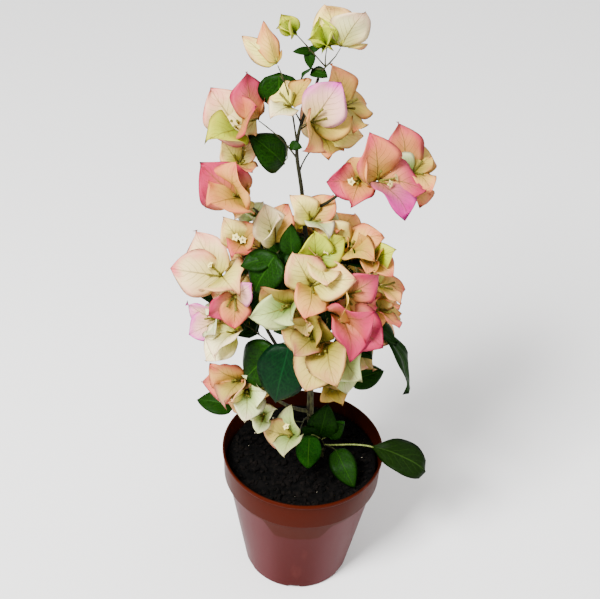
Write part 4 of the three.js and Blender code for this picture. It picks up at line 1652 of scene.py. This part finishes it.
    def grow_leaf(self, item: LeafPlan, paths: Sequence[Path], run: SeededRun) -> None:
        """Grow a leaf on its stalk, which leaves the nearest place on the mass's twigs.

        Args:
            item: The leaf.
            paths: The twigs' curves.
            run: The run of numbers for its waves.
        """
        spoon = item.kind is SPOON
        origin = min(
            (path.at(share) for path in paths for share in self.petiole_springs),
            key=lambda place: (place - item.base).length)
        if (paths[0].at(1.0) - item.base).length > 0.5:
            thick = self.petiole_radius * (self.spoon_swell if spoon else 1.0)
            rings = max(3, round((item.base - origin).length / self.petiole_ring_step))
            material = self.palette.petiole if spoon or item.kind is FRESH else self.palette.twig
            self.twigs.grow_tube(
                bowed(origin, None, item.base, item.axis),
                lambda share: thick * (1 + self.petiole_flare * (1 - share)),
                self.twig_sides, rings, material)
        upper = FRONT + UP * 2 if spoon else outward(item.base) * self.leaf_fall + UP
        if item.frontal:
            upper = FRONT
        length = (item.tip - item.base).length + self.leaf_sunk
        form = SPOON_FORM if spoon else LEAF_FORM
        self.leaves.blades.append(Blade(
            item.base - item.axis * self.leaf_sunk, item.axis, upper, length, item.width, form,
            self.palette.leaves[item.kind], run(), run(), run.between(*self.leaf_hooks)))

    def hang_leaf(self, stem: Path, spring: Vector, way: Vector, length: float, run: SeededRun) -> None:
        """Grow a plain leaf of a length close by a place on a twig."""
        base = spring + way * self.leaf_off
        self.grow_leaf(LeafPlan(base, base + way * length, self.leaf_width), [stem], run)

    def grow_infill(self, plan: Mass, paths: Sequence[Path], run: SeededRun) -> None:
        """Grow small side heads and leaves between a mass's own ones, further in than they are.

        Args:
            plan: The mass.
            paths: Its twigs' curves.
            run: The run of numbers that places them.
        """
        for i in range(plan.infill):
            stem = paths[i % len(paths)]
            spring = stem.at(run.between(*self.infill_springs))
            out = swung(
                outward(spring), run.between(*self.infill_turns), run.between(*self.infill_lifts))
            base = spring + out * run.between(*self.infill_off)
            tints = tuple(SOFTER.get(tint, tint) for tint in plan.heads[i % len(plan.heads)].tints)
            item = Head(
                base, out, ROLL_SPAN * run(), self.infill_gap, run.between(*self.infill_open),
                run.between(*self.infill_bracts), tints)
            self.grow_twig(spring, None, base, out, True, run)
            self.grow_head(item, run)
            spring = stem.at(run.between(*self.fall_springs))
            fall = swung(out, run.between(*self.fall_turns), run.between(*self.fall_lifts))
            self.hang_leaf(stem, spring, fall, run.between(*self.infill_leaves), run)

    def grow_far_leaves(self, plan: Mass, paths: Sequence[Path]) -> None:
        """Grow the leaves of a mass on the far side by the same seeded rule as its solid.

        Args:
            plan: The mass.
            paths: Its twigs' curves.
        """
        run, waves = SeededRun(plan.seed + self.far_seed), SeededRun(plan.seed + self.wave_seed)
        for i in range(plan.far_leaves):
            stem = paths[i % len(paths)]
            spring = stem.at(run.between(*self.far_springs))
            out = swung(
                outward(spring), self.far_turn * (run() - 0.5), self.far_lift - self.far_fall * run())
            self.hang_leaf(stem, spring, out, FAR_LEAF * run.between(*self.far_lengths), waves)


@dataclass
class Pot:
    """The round nursery pot: a turned shell with a collar, a rolled rim and notches in its foot."""

    height: float = 146.0
    foot_radius: float = 50.0
    body_radius: float = 69.5
    rim_radius: float = 75.0
    collar_height: float = 31.0
    collar_radius: float = 73.0
    wall: float = 1.8
    floor: float = 3.0
    foot_round: float = 1.5
    foot_steps: tuple[tuple[float, float], ...] = ((0.4, 3.6), (0.9, 6.4))
    step: float = 2.0
    lip: float = 5.0
    lip_edge: float = 3.5
    lip_round: float = 0.6
    rounding: float = 0.35
    rounding_from: float = 112.0
    rounding_reach: float = 6.0
    sharp: float = 0.3
    steps: int = 144
    notches: int = 6
    notch_width: float = 13.0
    notch_height: float = 3.2
    notch_band: float = 2.0
    notch_floor: float = 0.8

    @property
    def collar(self) -> float:
        """Returns the height where the collar starts."""
        return self.height - self.collar_height

    def profile(self) -> list[tuple[float, float]]:
        """The wall's outline, from the axis out, up, in and down again.

        Returns:
            Its places as radius and height.
        """
        foot, body, rim, neck = self.foot_radius, self.body_radius, self.rim_radius, self.collar_radius
        wall, collar, top = self.wall, self.collar, self.height
        return [
            (0, 0), (foot - self.foot_round, 0), (foot, self.foot_round),
            *((foot + out, height) for out, height in self.foot_steps),
            (body, collar - self.step), (neck, collar),
            (rim - 1, top - self.lip), (rim, top - self.lip_edge),
            (rim, top - self.lip_round), (rim - self.lip_round, top), (rim - wall, top),
            (neck - wall, collar + self.step / 2), (body - wall, collar - self.step / 2),
            (foot - wall, self.floor), (0, self.floor),
        ]

    def build(self) -> None:
        """Spin the outline, round its edges and press in the notches."""
        piece = Piece("pot_shell")
        piece.spin(self.profile(), self.steps)
        mesh = piece.mesh
        rings = [
            edge for edge in mesh.edges
            if abs(edge.verts[0].co.z - edge.verts[1].co.z) < 1e-6
            and edge.calc_length() < self.rounding_reach * MM
            and len(edge.link_faces) == 2 and edge.calc_face_angle() > self.sharp
            and edge.verts[0].co.z > self.rounding_from * MM
        ]
        bmesh.ops.bevel(
            mesh, geom=rings, offset=self.rounding * MM, offset_type="OFFSET", affect="EDGES", segments=2,
            profile=0.5, material=-1, clamp_overlap=True)
        self.press_notches(mesh)
        piece.paint(mesh.faces[:], PotFinish().make())
        piece.finish("pot", ["pot"])

    def press_notches(self, mesh: BMesh) -> None:
        """Raise the foot's edge at each notch.

        Args:
            mesh: The pot's mesh.
        """
        reach = self.notch_width / 2 / self.foot_radius
        for corner in mesh.verts:
            inner = corner.co.xy.length < (self.foot_radius - self.notch_band) * MM
            if inner or corner.co.z > self.notch_band * MM:
                continue
            share = (atan2(corner.co.y, corner.co.x) / tau * self.notches) % 1.0
            if abs(share - 0.5) * tau / self.notches < reach:
                corner.co.z = self.notch_height * MM * (1.0 if corner.co.z > 1 * MM else self.notch_floor)


@dataclass
class Soil:
    """The compost: a lumpy bed with loose crumbs and a few pale grains."""

    pot: Pot
    height: float = 129.0
    rise: float = 1.6
    rise_from: float = 55.6
    rise_span: float = 0.25
    gap: float = 0.4
    floor_gap: float = 0.3
    below_step: float = 1.4
    above_step: float = 1.2
    step_inset: float = 0.8
    steps: int = 96
    rings: int = 26
    crumbs: int = 900
    grains: int = 16
    crumb_size: tuple[float, float] = (0.5, 2.9)
    crumb_power: float = 1.4
    crumb_scale: float = 0.75
    crumb_lift: float = 0.3
    crumb_shape: tuple[tuple[float, float], ...] = ((0.8, 1.4), (0.7, 1.1), (0.5, 0.9))
    crumb_grain: float = 2300.0
    crumb_rough: float = 0.6
    grain_size: tuple[float, float] = (0.35, 0.8)
    wave: tuple[float, float] = (1.3, 0.09)
    ripple: tuple[float, float] = (0.8, 0.31)
    settling: float = 0.5
    seed: int = 77

    @property
    def edge(self) -> float:
        """Returns the bed's radius, midway in the collar's step and clear of the wall."""
        return (self.pot.collar_radius + self.pot.body_radius) / 2 - self.pot.wall - self.gap

    def build(self) -> None:
        """Spin the bed, roughen it, and strew the crumbs."""
        pot, bottom, inset = self.pot, self.pot.floor + self.floor_gap, self.pot.wall + self.gap
        bed = [
            (0, bottom), (pot.foot_radius - inset - 1, bottom),
            (pot.body_radius - inset - self.step_inset, pot.collar - self.below_step),
            (self.edge, pot.collar + self.above_step),
            (self.edge, self.height + self.rise),
        ]
        reaches = [self.edge * (1 - i / self.rings) for i in range(1, self.rings + 1)]
        piece = Piece("soil_bed")
        piece.spin(bed + [(reach, self.level(reach)) for reach in reaches], self.steps)
        for corner in piece.mesh.verts:
            if corner.co.z > (self.height - 2) * MM and corner.co.xy.length < (self.edge - 1) * MM:
                corner.co.z += self.lump(corner.co / MM) * MM
        piece.paint(piece.mesh.faces[:], SoilFinish().make())
        piece.finish("soil", ["soil"])
        self.strew()

    def level(self, radius: float) -> float:
        """Returns the bed's height at a radius: slightly higher towards the edge."""
        return self.height + self.rise * max(0.0, radius / self.rise_from - 1.0) / self.rise_span

    def lump(self, place: Vector) -> float:
        """How far the bed stands over its level.

        Args:
            place: The place, in millimetres.

        Returns:
            The height over the level, in millimetres.
        """
        flat = place * Vector((1, 1, 0))
        swell, fine = (height * noise.noise(flat * grain) for height, grain in (self.wave, self.ripple))
        return swell + fine - self.settling

    def strew(self) -> None:
        """Strew crumbs and grains over the bed."""
        run = SeededRun(self.seed)
        crumbs, grains = Piece("soil_crumbs"), Piece("soil_grains")
        dark = SoilFinish("soil_crumb", "100C0A", "020202").make()
        light = PlainFinish("soil_grain", "C9BFA6").make()
        for i in range(self.crumbs + self.grains):
            pale = i >= self.crumbs
            radius = sqrt(run()) * (self.edge - 3)
            turn = run() * tau
            place = Vector((radius * cos(turn), radius * sin(turn), 0))
            size = run.between(*(self.grain_size if pale else self.crumb_size))
            if not pale:
                size = size ** self.crumb_power * self.crumb_scale
            place.z = self.level(radius) + self.lump(place) + size * self.crumb_lift
            turned = Matrix.Rotation(run() * 3, 4, facing(run() * 360, run() * 90))
            scaled = Matrix.Diagonal([run.between(*span) for span in self.crumb_shape]).to_4x4()
            piece = grains if pale else crumbs
            matrix = Matrix.Translation(place * MM) @ turned @ scaled
            lump = bmesh.ops.create_icosphere(
                piece.mesh, subdivisions=1, radius=size * MM, matrix=matrix)["verts"]
            for corner in lump:
                bulge = noise.noise(corner.co * self.crumb_grain) * self.crumb_rough
                corner.co += (corner.co - place * MM) * bulge
            piece.paint(faces_of(lump), light if pale else dark, False)
        crumbs.finish("soil", ["soil"])
        grains.finish("soil", ["soil"])


@dataclass(frozen=True)
class SoftLight:
    """A large square light that faces the plant."""

    name: str
    place: tuple[float, float, float]
    size: float
    power: float
    target: tuple[float, float, float] = (0.0, 0.0, 0.3)

    def hang(self) -> None:
        """Hang the light."""
        data = bpy.data.lights.new(self.name, "AREA")
        data.size, data.energy = self.size, self.power
        light = stand(self.name, data)
        light.location = self.place
        ahead = Vector(self.target) - Vector(self.place)
        light.rotation_euler = ahead.to_track_quat("-Z", "Y").to_euler()


@dataclass
class Studio:
    """The pale floor, the soft lights and the camera."""

    place: tuple[float, float, float] = (0.0, -0.914, 1.096)
    yaw: float = -0.68
    pitch: float = 40.18
    roll: float = 3.39
    focus: float = 1406.0
    frame_width: float = 600.0
    sensor: float = 36.0
    floor_half: float = 4.0
    world_strength: float = 0.9
    floor_finish: PlainFinish = PlainFinish("floor_pale", "F6F5F4", 0.9, 0.01, 3.0)
    lights: tuple[SoftLight, ...] = (
        SoftLight("key_light", (-0.9, -1.2, 2.1), 0.7, 175.0),
        SoftLight("fill_light", (1.4, 0.6, 1.8), 1.6, 16.0),
    )

    def build(self) -> None:
        """Lay the floor, hang the lights, light the world evenly, and set the camera."""
        floor = Piece("floor")
        bmesh.ops.create_grid(floor.mesh, x_segments=2, y_segments=2, size=self.floor_half)
        floor.paint(floor.mesh.faces[:], self.floor_finish.make(), False)
        stand(floor.name, floor.to_data())
        for light in self.lights:
            light.hang()
        world = bpy.context.scene.world = bpy.data.worlds.new("soft_light")
        world.use_nodes = True
        backdrop = world.node_tree.nodes["Background"].inputs
        backdrop["Color"].default_value = (1.0, 1.0, 1.0, 1.0)
        backdrop["Strength"].default_value = self.world_strength
        self.set_camera()

    def set_camera(self) -> None:
        """Set the camera at the photograph's angle."""
        yaw, pitch, roll = (radians(value) for value in (self.yaw, self.pitch, self.roll))
        ahead = facing(90 - self.yaw, -self.pitch)
        right = Vector((cos(yaw), -sin(yaw), 0))
        up = right.cross(ahead)
        right, up = right * cos(roll) + up * sin(roll), up * cos(roll) - right * sin(roll)
        data = bpy.data.cameras.new("camera")
        data.sensor_width = self.sensor
        data.lens = self.focus / self.frame_width * self.sensor
        camera = bpy.context.scene.camera = stand("camera", data)
        camera.matrix_world = Matrix.Translation(self.place) @ axes(right, up, -ahead)


def main() -> None:
    """Build the scene."""
    logging.basicConfig(level=logging.INFO, format="%(name)s: %(message)s")
    Studio().build()
    pot = Pot()
    pot.build()
    Soil(pot).build()
    palette = Palette()
    limbs = Limbs(palette)
    limbs.build()
    for reach, plans in MASSES.items():
        Sprays(reach, palette, limbs, plans).build()
    bpy.context.view_layer.update()


if __name__ == "__main__":
    main()
